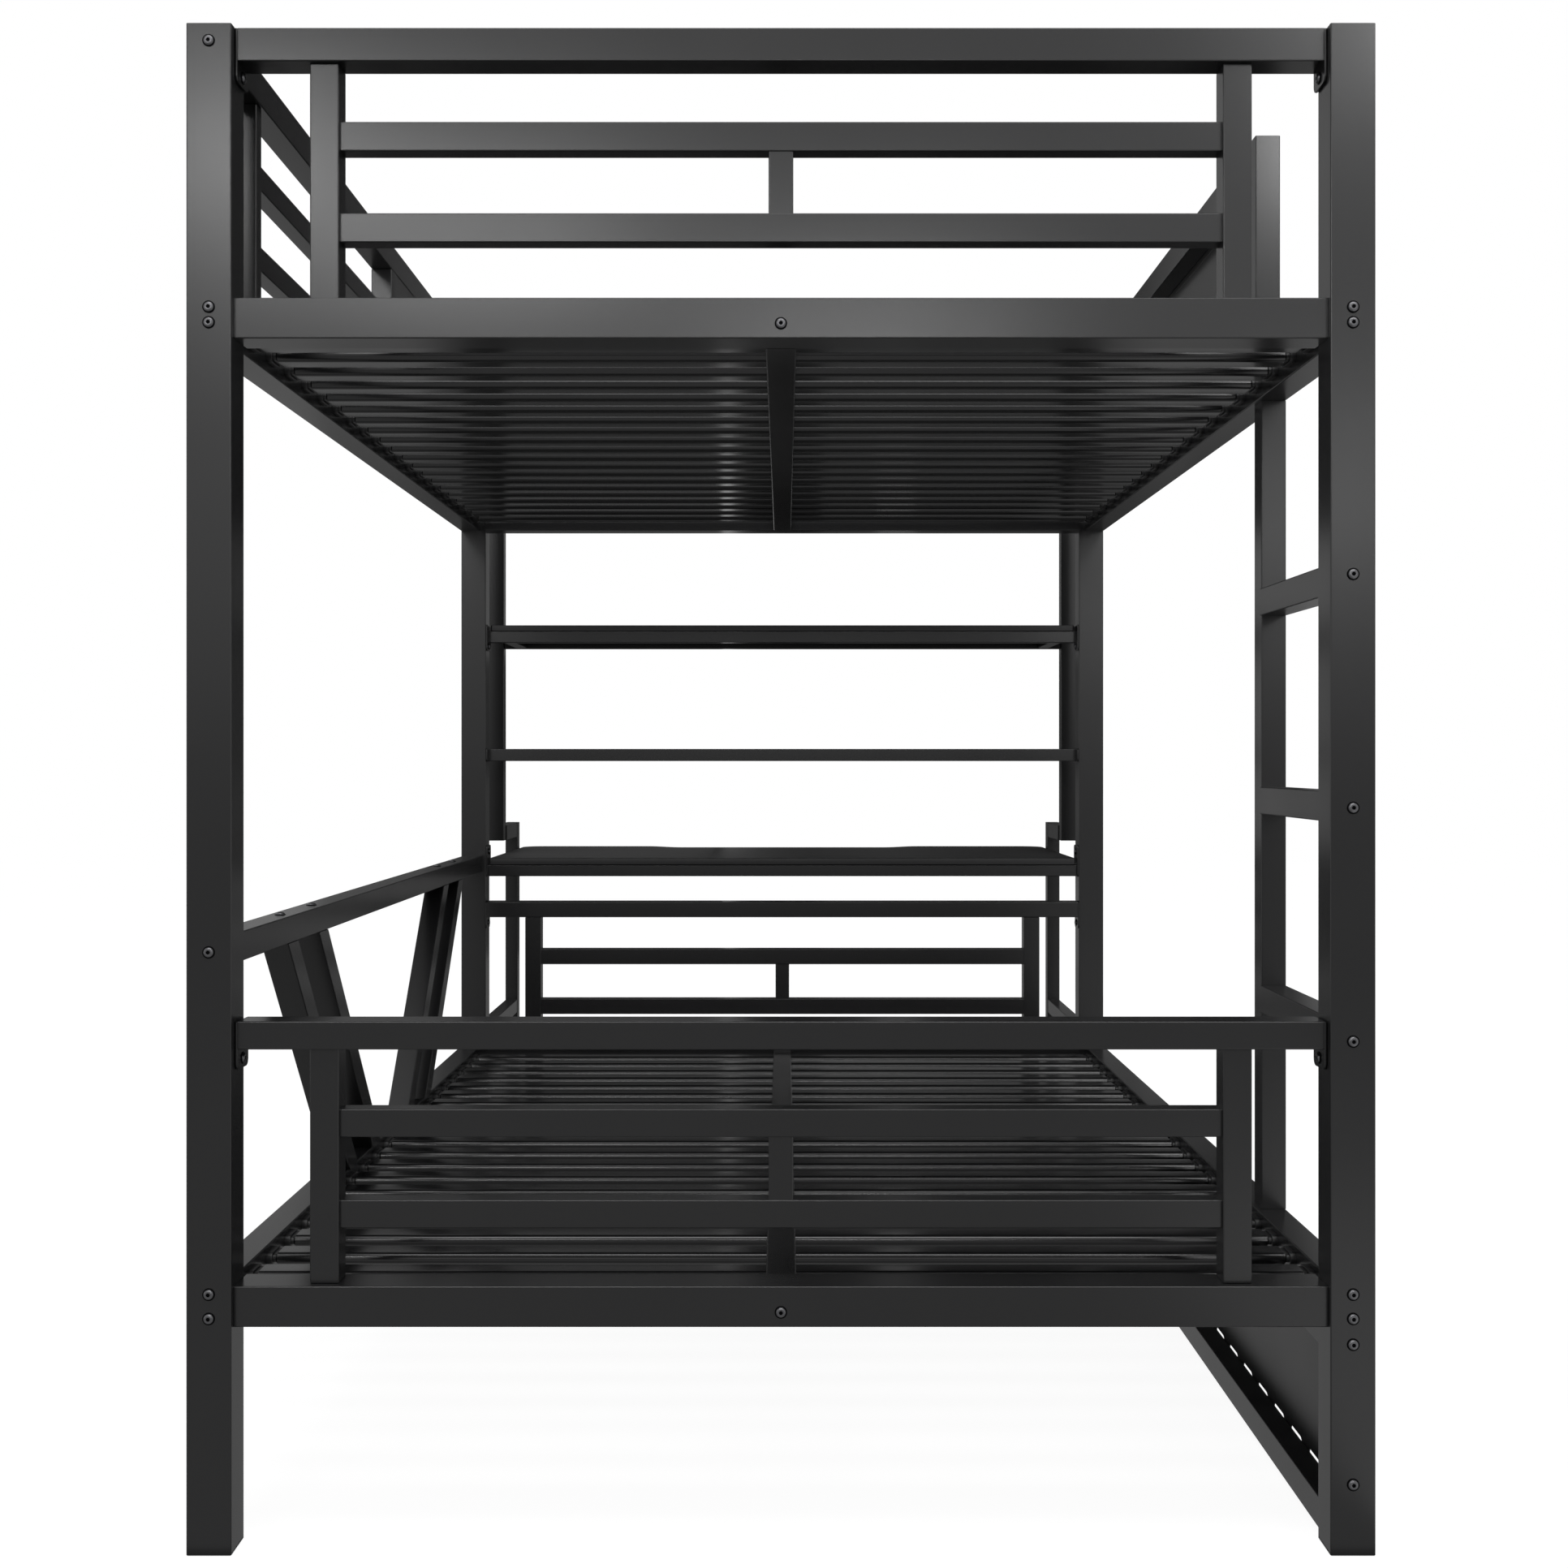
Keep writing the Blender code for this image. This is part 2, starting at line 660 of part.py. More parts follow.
def build_infill(end, level_name, parent, steel):
    """Two upright bars, two crossbars and a short centre upright of one end frame."""
    level = LEVELS[level_name]
    rail_bottom = level["rail_top"] - level["rail_height"]
    bar_z = between(level["bed"] + END_RAIL_HEIGHT, rail_bottom)
    bar_y = depth_span(end, BAR_SETBACK, BAR_DEPTH)
    inner = BAR_OUTER_X - BAR_WIDTH
    bars = []
    for side in SIDES.values():
        bars.append(Tube(corners(flank_span(side, inner, BAR_OUTER_X), bar_y, bar_z), Z))
    crossbar_y = depth_span(end, CROSSBAR_SETBACK, CROSSBAR_DEPTH)
    height = level["crossbar_height"]
    crossbars = []
    for rise in level["crossbar_rises"]:
        z_span = (level["bed"] + rise, level["bed"] + rise + height)
        crossbars.append(Tube(corners(welded_between(-inner, inner), crossbar_y, z_span), X))
    lower_rise, upper_rise = level["crossbar_rises"]
    centre_setback = CROSSBAR_SETBACK + (CROSSBAR_DEPTH - CENTRE_UPRIGHT_DEPTH) / 2
    centre_y = depth_span(end, centre_setback, CENTRE_UPRIGHT_DEPTH)
    centre_z = welded_between(level["bed"] + lower_rise + height, level["bed"] + upper_rise)
    half = CENTRE_UPRIGHT_WIDTH / 2
    centre = Tube(corners((-half, half), centre_y, centre_z), Z)
    weld(f"{end}_{level_name}_infill", parent, steel, [bars, crossbars, [centre]])


def build_end_frames(parent, steel):
    """Top rail, infill and end rail at both ends of both beds."""
    for level_name, level in LEVELS.items():
        bed = level["bed"]
        for end in ENDS:
            build_top_rail(end, level_name, parent, steel)
            build_infill(end, level_name, parent, steel)
            y_span = depth_span(end, END_RAIL_SETBACK, END_RAIL_DEPTH)
            x_span = between(-POST_INNER_X, POST_INNER_X)
            box = corners(x_span, y_span, (bed, bed + END_RAIL_HEIGHT))
            rail = tube_piece(f"{end}_{level_name}_end_rail", box, X, parent, steel)
            face = y_span[0] if end == "near" else y_span[1]
            seat = Vector((0.0, face, bed + BEAM_HEIGHT / 2))
            add_heads_to(rail, [(seat, outward(end))])


def slat_places():
    """Y of the middle of each slat."""
    first = BED_INNER_Y + SLAT_END_SPACE
    return even_places(first, FRAME_DEPTH - first, SLAT_COUNT)


def build_slat_deck(level_name, parent, steel):
    """The centre beam of one bed with its half slats welded to both sides."""
    level = LEVELS[level_name]
    bed = level["bed"]
    beam_y = between(BED_INNER_Y, FRAME_DEPTH - BED_INNER_Y)
    half = BEAM_WIDTH / 2
    beam = Tube(corners((-half, half), beam_y, (bed, bed + BEAM_HEIGHT)), Y)
    bottom = bed + level["slat_rise"]
    z_span = (bottom, bottom + SLAT_THICKNESS)
    slats = []
    for y in slat_places():
        y_span = (y - SLAT_WIDTH / 2, y + SLAT_WIDTH / 2)
        for side in SIDES.values():
            x_span = flank_span(side, half - WELD_SINK, SOCKET_INNER_X - TOUCH_GAP)
            slats.append(Tube(corners(x_span, y_span, z_span), X, wide_cut=SLAT_EDGE))
    weld(f"{level_name}_slat_deck", parent, steel, [[beam], slats])


def build_side_rail(level_name, side_name, parent, steel):
    """A side rail with a row of slat sockets on its inner face."""
    level = LEVELS[level_name]
    side = SIDES[side_name]
    bed = level["bed"]
    box = corners(
        side_span(side, 0.0, SIDE_RAIL_WIDTH),
        between(POST_BACK_Y, FAR_POST_Y),
        (bed, bed + SIDE_RAIL_HEIGHT),
    )
    rail = tube_piece(f"{level_name}_{side_name}_side_rail", box, Y, parent, steel)
    sockets = bmesh.new()
    bottom = bed + level["slat_rise"] - SOCKET_RIM
    z_span = (bottom, bottom + SLAT_THICKNESS + 2 * SOCKET_RIM)
    half = SLAT_WIDTH / 2 + SOCKET_RIM
    x_span = flank_span(side, SOCKET_INNER_X, SIDE_RAIL_INNER_X + WELD_SINK)
    for y in slat_places():
        add_block(sockets, corners(x_span, (y - half, y + half), z_span), X, SOCKET_CORNER)
    combine(rail, "sockets", sockets, "UNION")


def build_left_guard(parent, steel):
    """Top rail, and under it three uprights with two broken rails between them."""
    top_box = corners(
        centred_span(LEFT, GUARD_TOP_WIDTH),
        between(POST_BACK_Y, FAR_POST_Y),
        (GUARD_BOTTOM, FRAME_HEIGHT),
    )
    tube_piece("left_guard_top_rail", top_box, Y, parent, steel)
    upright_z = between(UPPER_SIDE_TOP, GUARD_BOTTOM)
    end_x = centred_span(LEFT, GUARD_UPRIGHT_WIDTH)
    centre_y = (MIDDLE_Y - GUARD_CENTRE_DEPTH / 2, MIDDLE_Y + GUARD_CENTRE_DEPTH / 2)
    near_y = (GUARD_UPRIGHT_START, GUARD_UPRIGHT_START + GUARD_UPRIGHT_DEPTH)
    far_y = (FRAME_DEPTH - near_y[1], FRAME_DEPTH - near_y[0])
    uprights = [Tube(corners(end_x, y_span, upright_z), Z) for y_span in (near_y, far_y)]
    centre_x = centred_span(LEFT, GUARD_CENTRE_WIDTH)
    uprights.append(Tube(corners(centre_x, centre_y, upright_z), Z))
    rails = []
    rail_x = centred_span(LEFT, GUARD_RAIL_WIDTH)
    for rise in GUARD_RAIL_RISES:
        bottom = UPPER_BED_BOTTOM + rise
        z_span = (bottom, bottom + GUARD_RAIL_HEIGHT)
        for front, back in ((near_y[1], centre_y[0]), (centre_y[1], far_y[0])):
            rails.append(Tube(corners(rail_x, welded_between(front, back), z_span), Y))
    weld("left_guard_grille", parent, steel, [uprights, rails])


def build_right_guard(parent, steel):
    """Upright by the ladder opening, top rail to the far post and the sheet under it."""
    x_span = side_span(RIGHT, RIGHT_GUARD_INSET, RIGHT_GUARD_WIDTH)
    upright_y = (RIGHT_UPRIGHT_Y, RIGHT_UPRIGHT_Y + RIGHT_UPRIGHT_DEPTH)
    upright = bmesh.new()
    add_closed_tube(
        upright,
        corners(x_span, upright_y, (UPPER_SIDE_TOP + TOUCH_GAP, FRAME_HEIGHT)),
    )
    finish_object("right_guard_upright", upright, parent, steel)
    rail_y = between(upright_y[1], FAR_POST_Y)
    rail_box = corners(x_span, rail_y, (GUARD_BOTTOM, FRAME_HEIGHT))
    tube_piece("right_guard_top_rail", rail_box, Y, parent, steel)
    sheet = bmesh.new()
    sheet_x = side_span(RIGHT, GUARD_SHEET_INSET, SHEET_THICKNESS)
    add_sheet(sheet, corners(sheet_x, rail_y, between(UPPER_SIDE_TOP, GUARD_BOTTOM)))
    finish_object("right_guard_sheet", sheet, parent, steel)


def build_ladder(parent, steel):
    """Ladder post between the side rails, and rungs from it to the near post."""
    post_y = (LADDER_POST_Y, LADDER_POST_Y + LADDER_POST_DEPTH)
    post_x = side_span(RIGHT, 0.0, LADDER_POST_WIDTH)
    box = corners(post_x, post_y, between(LOWER_SIDE_TOP, UPPER_BED_BOTTOM))
    tube_piece("ladder_post", box, Z, parent, steel)
    rung_x = side_span(RIGHT, 0.0, RUNG_WIDTH)
    rung_y = between(POST_BACK_Y, LADDER_POST_Y)
    for index, height in enumerate(rung_heights()):
        z_span = (height - RUNG_HEIGHT / 2, height + RUNG_HEIGHT / 2)
        tube_piece(f"ladder_rung_{index + 1}", corners(rung_x, rung_y, z_span), Y, parent, steel)


def build_brace(parent, steel):
    """Brace rail between the left posts and the leaning struts under it."""
    rail_box = corners(
        centred_span(LEFT, BRACE_RAIL_SIZE),
        between(POST_BACK_Y, FAR_POST_Y),
        (BRACE_RAIL_BOTTOM, BRACE_RAIL_TOP),
    )
    rail = tube_piece("brace_rail", rail_box, Y, parent, steel)
    places = strut_top_places()
    x = LEFT * POST_CENTRE_X
    upward = Vector((0.0, 0.0, 1.0))
    add_heads_to(rail, [(Vector((x, y, BRACE_RAIL_TOP)), upward) for y in places])
    z_span = between(LOWER_SIDE_TOP, BRACE_RAIL_BOTTOM)
    shift = (z_span[1] - z_span[0]) * math.tan(STRUT_LEAN)
    half = STRUT_WIDTH / math.cos(STRUT_LEAN) / 2
    for index, y in enumerate(places):
        inward = 1.0 if y < MIDDLE_Y else -1.0
        foot = y + inward * shift
        box = corners(centred_span(LEFT, STRUT_WIDTH), (foot - half, foot + half), z_span)
        strut = bmesh.new()
        add_tube(strut, box, Z, shift=(0.0, -inward * shift, 0.0))
        finish_object(f"brace_strut_{index + 1}", strut, parent, steel)


def slotted_outline(y_span, z_span):
    """A long sheet seen along X, with a row of slots open at its lower edge."""
    front, back = y_span
    bottom, top = z_span
    first = POST_BACK_Y + SLOT_END_SPACE
    points = [(front, bottom)]
    for centre in even_places(first, FRAME_DEPTH - first, SLOT_COUNT):
        left = centre - SLOT_LENGTH / 2
        right = centre + SLOT_LENGTH / 2
        points += [(left, bottom), (left, SLOT_TOP), (right, SLOT_TOP), (right, bottom)]
    return points + [(back, bottom), (back, top), (front, top)]


def build_under_panel(parent, steel):
    """Rails and slotted sheet under the right side of the lower bed."""
    y_span = between(POST_BACK_Y, FAR_POST_Y)
    x_span = side_span(RIGHT, PANEL_RAIL_INSET, PANEL_RAIL_WIDTH)
    top = LOWER_BED_BOTTOM - TOUCH_GAP
    floor_z = (FLOOR_RAIL_BOTTOM, FLOOR_RAIL_BOTTOM + FLOOR_RAIL_HEIGHT)
    tube_piece("panel_floor_rail", corners(x_span, y_span, floor_z), Y, parent, steel)
    top_box = corners(x_span, y_span, (top - PANEL_TOP_RAIL_HEIGHT, top))
    tube_piece("panel_top_rail", top_box, Y, parent, steel)
    mesh = bmesh.new()
    inner = x_span[1] + TOUCH_GAP
    sheet_y = (y_span[0] + SHEET_END_CLEARANCE, y_span[1] - SHEET_END_CLEARANCE)
    outline = slotted_outline(sheet_y, (PANEL_BOTTOM, top))
    add_prism(mesh, outline, X, inner, inner + SHEET_THICKNESS)
    sheet = finish_object("under_bed_sheet", mesh, parent, steel)
    tabs = bmesh.new()
    tab_x = (x_span[0], inner + WELD_SINK)
    tab_z = (TAB_BOLT_HEIGHT - TAB_HEIGHT / 2, TAB_BOLT_HEIGHT + TAB_HEIGHT / 2)
    for end in ENDS:
        tab_y = depth_span(end, POST_BACK_Y + TOUCH_GAP, PLATE_THICKNESS)
        add_sheet(tabs, corners(tab_x, tab_y, tab_z))
    combine(sheet, "tabs", tabs, "UNION")


def quarter_turn(centre, start_angle):
    """Points of a rounded corner of the desk top."""
    points = []
    for step in range(CORNER_STEPS + 1):
        angle = start_angle + math.pi / 2 * step / CORNER_STEPS
        x = centre[0] + DESK_CORNER * math.cos(angle)
        y = centre[1] + DESK_CORNER * math.sin(angle)
        points.append((x, y))
    return points


def recess_run():
    """Points of one smooth side of the recess, from the back edge to its full depth."""
    points = []
    for step in range(RECESS_STEPS + 1):
        share = step / RECESS_STEPS
        ease = (1.0 - math.cos(math.pi * share)) / 2
        x = RECESS_HALF_WIDTH + RECESS_RUN * (1.0 - share)
        points.append((x, DESK_BACK_Y - RECESS_DEPTH * ease))
    return points


def desk_outline():
    """The desk top seen from above, turning left from its front corner on the left."""
    front = FAR_POST_Y + DESK_FRONT_INSET
    corner_x = DESK_HALF_WIDTH - DESK_CORNER
    corner_y = DESK_BACK_Y - DESK_CORNER
    right_run = recess_run()
    left_run = [(-x, y) for x, y in reversed(right_run)]
    points = [(-DESK_HALF_WIDTH, front), (DESK_HALF_WIDTH, front)]
    points += quarter_turn((corner_x, corner_y), 0.0)
    points += right_run + left_run
    points += quarter_turn((-corner_x, corner_y), math.pi / 2)
    return points


def build_desk(parent, steel, board):
    """Desk top, the front rail with its brackets and the rear rail between the legs."""
    top = bmesh.new()
    add_prism(top, desk_outline(), Z, BOARD_BOTTOM, DESK_TOP)
    finish_object("desk_top", top, parent, board)
    rail_top = BOARD_BOTTOM - TOUCH_GAP
    rail_z = (rail_top - DESK_RAIL_SIZE, rail_top)
    front_y = FAR_POST_Y + DESK_RAIL_SETBACK
    rail_x = welded_between(-PLATE_INNER_X, PLATE_INNER_X)
    rail = Tube(corners(rail_x, (front_y, front_y + DESK_RAIL_SIZE), rail_z), X)
    bracket_y = (FAR_POST_Y + BRACKET_INSET, FRAME_DEPTH - BRACKET_INSET)
    bracket_box = corners((0.0, 0.0), bracket_y, (rail_z[0] - PLATE_MARGIN, BRACKET_TOP))
    plates = end_plates(plain_outline(bracket_box, X))
    thing = weld("desk_front_rail", parent, steel, [[rail]], plates)
    add_heads_to(thing, plate_seats(sum(bracket_y) / 2, BRACKET_TOP - BRACKET_BOLT_RISE))
    rear_y = LEG_FRONT_Y + (LEG_DEPTH - DESK_RAIL_SIZE) / 2
    rear_box = corners(
        between(-SIDE_FRAME_HALF_WIDTH, SIDE_FRAME_HALF_WIDTH),
        (rear_y, rear_y + DESK_RAIL_SIZE),
        rail_z,
    )
    tube_piece("desk_rear_rail", rear_box, X, parent, steel)


def build_side_frames(parent, steel, plastic):
    """On each side of the desk, a leg welded to a side tube and a low rail, on a foot."""
    leg_y = (LEG_FRONT_Y, LEG_FRONT_Y + LEG_DEPTH)
    tube_y = (UPRIGHT_FRONT_Y + UPRIGHT_SIZE + TOUCH_GAP, LEG_FRONT_Y + WELD_SINK)
    low_y = (FRAME_DEPTH + TOUCH_GAP, LEG_FRONT_Y + WELD_SINK)
    inner = SIDE_FRAME_HALF_WIDTH
    outer = inner + LEG_WIDTH
    for side_name, side in SIDES.items():
        leg_x = flank_span(side, inner, outer)
        tube_x = flank_span(side, inner + WELD_STEP, outer - WELD_STEP)
        leg = Tube(corners(leg_x, leg_y, (CAP_FLANGE + TOUCH_GAP, LEG_TOP)), Z, True)
        upper = Tube(corners(tube_x, tube_y, (SIDE_TUBE_BOTTOM, SIDE_TUBE_TOP)), Y)
        low_z = (LOW_RAIL_TOP - LOW_RAIL_HEIGHT, LOW_RAIL_TOP)
        lower = Tube(corners(tube_x, low_y, low_z), Y)
        weld(f"desk_{side_name}_side_frame", parent, steel, [[leg], [upper, lower]])
        foot = bmesh.new()
        add_foot(foot, corners(leg_x, leg_y, (0.0, LEG_TOP)), TUBE_WALL)
        finish_object(f"desk_{side_name}_foot", foot, parent, plastic)


def add_spigot_tube(mesh, box):
    """Adds an upright tube with a closed foot and a narrowed spigot on its open top."""
    low, high = box
    outer = cut_outline(box, Z, tube_edge(TUBE_WALL))
    inner = plain_outline(box, Z, TUBE_WALL)
    clear = TUBE_WALL + TOUCH_GAP
    spigot_box = (low + Vector((clear, clear, 0.0)), high - Vector((clear, clear, 0.0)))
    spigot = cut_outline(spigot_box, Z, tube_edge(TUBE_WALL))
    spigot_bore = plain_outline(spigot_box, Z, TUBE_WALL)
    shoulder = high[Z]
    outer_foot = add_ring(mesh, outer, Z, low[Z])
    outer_top = add_ring(mesh, outer, Z, shoulder)
    spigot_foot = add_ring(mesh, spigot, Z, shoulder)
    spigot_top = add_ring(mesh, spigot, Z, shoulder + SPIGOT_LENGTH)
    bore_top = add_ring(mesh, spigot_bore, Z, shoulder + SPIGOT_LENGTH)
    bore_foot = add_ring(mesh, spigot_bore, Z, shoulder - TUBE_WALL)
    inner_top = add_ring(mesh, inner, Z, shoulder - TUBE_WALL)
    inner_foot = add_ring(mesh, inner, Z, low[Z] + CLOSED_END)
    mesh.faces.new(outer_foot)
    skin_between(mesh, outer_foot, outer_top)
    skin_between(mesh, outer_top, spigot_foot)
    skin_between(mesh, spigot_foot, spigot_top)
    skin_ring(mesh, spigot_top, bore_top)
    skin_between(mesh, bore_top, bore_foot)
    skin_between(mesh, bore_foot, inner_top)
    skin_between(mesh, inner_top, inner_foot)
    mesh.faces.new(inner_foot)


def build_shelf_uprights(parent, steel):
    """On each side, a lower upright with a spigot and the upper upright that slides on it."""
    y_span = (UPRIGHT_FRONT_Y, UPRIGHT_FRONT_Y + UPRIGHT_SIZE)
    inner = SIDE_FRAME_HALF_WIDTH
    for side_name, side in SIDES.items():
        x_span = flank_span(side, inner, inner + UPRIGHT_SIZE)
        lower = bmesh.new()
        add_spigot_tube(lower, corners(x_span, y_span, (SIDE_TUBE_BOTTOM, UPRIGHT_JOINT)))
        finish_object(f"shelf_{side_name}_lower_upright", lower, parent, steel)
        upper = bmesh.new()
        upper_z = (UPRIGHT_JOINT + TOUCH_GAP, UPRIGHT_TOP)
        add_closed_tube(upper, corners(x_span, y_span, upper_z))
        finish_object(f"shelf_{side_name}_upper_upright", upper, parent, steel)


def shelf_depths():
    """Y spans of the front tube, between the far posts, and the rear tube of a shelf."""
    front = (SHELF_FRONT_Y, SHELF_FRONT_Y + SHELF_TUBE_DEPTH)
    rear_start = UPRIGHT_FRONT_Y + (UPRIGHT_SIZE - SHELF_TUBE_DEPTH) / 2
    return front, (rear_start, rear_start + SHELF_TUBE_DEPTH)


def weld_shelf_frame(name, parent, steel, z_span, side_top, plate_z):
    """Front tube with end plates, rear tube between the uprights and two side tubes."""
    front_y, rear_y = shelf_depths()
    half = SIDE_FRAME_HALF_WIDTH
    front_x = welded_between(-PLATE_INNER_X, PLATE_INNER_X)
    front = Tube(corners(front_x, front_y, z_span), X)
    rear = Tube(corners(between(-half, half), rear_y, z_span), X)
    outer = DESK_HALF_WIDTH - SHELF_SIDE_INSET
    side_z = (z_span[0] + WELD_STEP, side_top - WELD_STEP)
    sides = []
    for side in SIDES.values():
        x_span = flank_span(side, outer - SHELF_TUBE_DEPTH, outer)
        sides.append(Tube(corners(x_span, welded_between(front_y[1], rear_y[0]), side_z), Y))
    plate_y = (FAR_POST_Y + BRACKET_INSET, FRAME_DEPTH - BRACKET_INSET)
    plates = end_plates(plain_outline(corners((0.0, 0.0), plate_y, plate_z), X))
    return weld(name, parent, steel, [[front, rear], sides], plates)


def build_shelves(parent, steel, board):
    """Upper shelf with a board on its frame, lower shelf with a board inside its frame."""
    front_y, rear_y = shelf_depths()
    x_span = (-DESK_HALF_WIDTH, DESK_HALF_WIDTH)
    bottom = UPPER_SHELF_TUBE_BOTTOM
    tube_z = (bottom, bottom + UPPER_SHELF_TUBE_HEIGHT)
    board_z = (UPPER_BOARD_BOTTOM, UPPER_BOARD_BOTTOM + SHELF_BOARD_THICKNESS)
    plate_z = (bottom - SHELF_PLATE_DROP, board_z[1])
    frame = weld_shelf_frame("upper_shelf_frame", parent, steel, tube_z, tube_z[1], plate_z)
    add_heads_to(frame, plate_seats(FAR_POST_Y + POST_WIDTH / 2, bottom - SHELF_BOLT_DROP))
    upper = bmesh.new()
    add_block(upper, corners(x_span, (front_y[0], rear_y[1]), board_z), X)
    finish_object("upper_shelf_board", upper, parent, board)
    bottom = LOWER_SHELF_BOTTOM
    tube_z = (bottom, bottom + LOWER_SHELF_HEIGHT)
    board_z = (tube_z[1] - SHELF_BOARD_THICKNESS, tube_z[1])
    plate_z = (tube_z[0] - PLATE_MARGIN, tube_z[1] + PLATE_MARGIN)
    side_top = board_z[0] - TOUCH_GAP + WELD_STEP
    weld_shelf_frame("lower_shelf_frame", parent, steel, tube_z, side_top, plate_z)
    lower = bmesh.new()
    add_block(lower, corners(x_span, between(front_y[1], rear_y[0]), board_z), X)
    finish_object("lower_shelf_board", lower, parent, board)


def main():
    clear_scene()
    steel = make_material("black_powder_coat", (0.022, 0.022, 0.022), 0.42, 0.0)
    board = make_material("dark_laminate", (0.030, 0.030, 0.030), 0.55, 0.0)
    plastic = make_material("black_plastic", (0.012, 0.012, 0.012), 0.45, 0.0)
    bed = bpy.data.objects.new("bunk_bed", None)
    bpy.context.scene.collection.objects.link(bed)
    bed.location = (0.0, -FOOTPRINT_MIDDLE_Y, 0.0)
    build_posts(bed, steel, plastic)
    build_end_frames(bed, steel)
    for level_name in LEVELS:
        build_slat_deck(level_name, bed, steel)
        for side_name in SIDES:
            build_side_rail(level_name, side_name, bed, steel)
    build_left_guard(bed, steel)
    build_right_guard(bed, steel)
    build_ladder(bed, steel)
    build_brace(bed, steel)
    build_under_panel(bed, steel)
    build_desk(bed, steel, board)
    build_side_frames(bed, steel, plastic)
    build_shelf_uprights(bed, steel)
    build_shelves(bed, steel, board)


main()
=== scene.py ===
# %% [markdown]
# A bunk bed with a desk, dressed for its picture.
#
# The real bed is bent and welded from square and flat steel tube, coated in satin black
# powder, and bolted together. Two wide bunks lie on oval steel slats, and a laminated
# desk with two shelves stands at the far end. This lesson loads the plain construction
# model and builds finer pieces on top of it: tubes with rolled corners, turned bolts,
# oval slats and softened board edges. It then coats them, lights them and places the camera.

import math

import bmesh
import bpy
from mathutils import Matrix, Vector


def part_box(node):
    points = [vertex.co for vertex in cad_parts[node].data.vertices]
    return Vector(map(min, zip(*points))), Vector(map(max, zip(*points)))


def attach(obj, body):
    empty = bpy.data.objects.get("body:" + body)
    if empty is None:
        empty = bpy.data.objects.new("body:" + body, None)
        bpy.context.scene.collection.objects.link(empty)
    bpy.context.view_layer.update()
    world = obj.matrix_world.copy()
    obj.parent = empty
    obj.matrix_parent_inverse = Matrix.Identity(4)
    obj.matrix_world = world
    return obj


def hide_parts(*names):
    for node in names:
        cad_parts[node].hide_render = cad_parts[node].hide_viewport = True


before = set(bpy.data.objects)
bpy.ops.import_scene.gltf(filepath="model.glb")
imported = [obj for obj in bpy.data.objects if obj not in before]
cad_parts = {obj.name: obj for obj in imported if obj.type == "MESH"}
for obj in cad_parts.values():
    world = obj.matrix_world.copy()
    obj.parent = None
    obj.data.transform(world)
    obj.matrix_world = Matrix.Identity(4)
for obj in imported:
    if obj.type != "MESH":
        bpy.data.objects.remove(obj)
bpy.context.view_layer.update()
print("construction nodes:", len(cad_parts))

# %% [markdown]
# Sizes first. Everything on a tube bed is a few millimetres thick and a metre or two
# long, so a helper that reads millimetres keeps the numbers easy to check against a
# rule. The places come from the construction model, and only what that model can't
# tell, such as the bars inside a welded frame, is written here.

# %% Axes and millimetres
X, Y, Z = range(3)
ENDS = ("near", "far")
SIDES = {"left": -1, "right": 1}
LEVELS = ("upper", "lower")
ROOT = "root"


def mm(length):
    """A length in millimetres, as Blender's metres."""
    return length / 1000.0


TOUCH_GAP = mm(0.3)
HEAD_HEIGHT = mm(3.5)
TUBE_CORNER = mm(1.7)
TUBE_WALL = mm(1.0)
SOFT_EDGE = mm(0.5)
print("a tube's rolled corner has a radius of", round(TUBE_CORNER * 1000, 1), "mm")

# %% [markdown]
# Colour is given as an sRGB hex value, but Blender's shaders work with linear
# light. One function does the change, so every colour below can be compared with a
# colour picker.

# %% Colours


def linear(hex_colour):
    """An sRGB hex colour as linear red, green, blue and alpha."""
    channels = []
    for start in (1, 3, 5):
        value = int(hex_colour[start:start + 2], 16) / 255.0
        low = value / 12.92
        high = ((value + 0.055) / 1.055) ** 2.4
        channels.append(low if value <= 0.04045 else high)
    return (*channels, 1.0)


print("the coat's black in linear light:", [round(c, 4) for c in linear("#1c1c1d")[:3]])

# %% [markdown]
# A material is a small graph of nodes. One helper adds a node of any kind, fills in its
# settings and wires its inputs, so that each material reads as a short list of what it
# is made of.

# %% The one node helper


def add_node(tree, kind, settings=None, links=None):
    """Adds a node. Settings name its properties or its inputs, links name its inputs."""
    node = tree.nodes.new(kind)
    for name, value in (settings or {}).items():
        if isinstance(name, int) or name in node.inputs:
            node.inputs[name].default_value = value
        else:
            setattr(node, name, value)
    for name, source in (links or {}).items():
        tree.links.new(source, node.inputs[name])
    return node


def new_material(name, settings):
    """A material with some shader settings, its node tree, its shader and its place coordinates."""
    material = bpy.data.materials.new(name)
    material.use_nodes = True
    tree = material.node_tree
    shader = tree.nodes["Principled BSDF"]
    for socket, value in settings.items():
        shader.inputs[socket].default_value = value
    place = add_node(tree, "ShaderNodeTexCoord").outputs["Object"]
    return material, tree, shader, place


def per_metre(size):
    """The noise scale whose grains are about as wide as a size in metres."""
    return 1.0 / size


# %% [markdown]
# Three touches return in most finishes of this bed: a colour and a sheen that wander a
# little along a pattern, and a relief, which is a bump with a real depth.

# %% Tint, sheen and relief


def add_tint(tree, shader, pattern, shades):
    """Lets the colour wander between two shades."""
    tint = add_node(tree, "ShaderNodeValToRGB", links={"Fac": pattern})
    for stop, shade in zip(tint.color_ramp.elements, shades):
        stop.color = linear(shade)
    tree.links.new(tint.outputs["Color"], shader.inputs["Base Color"])


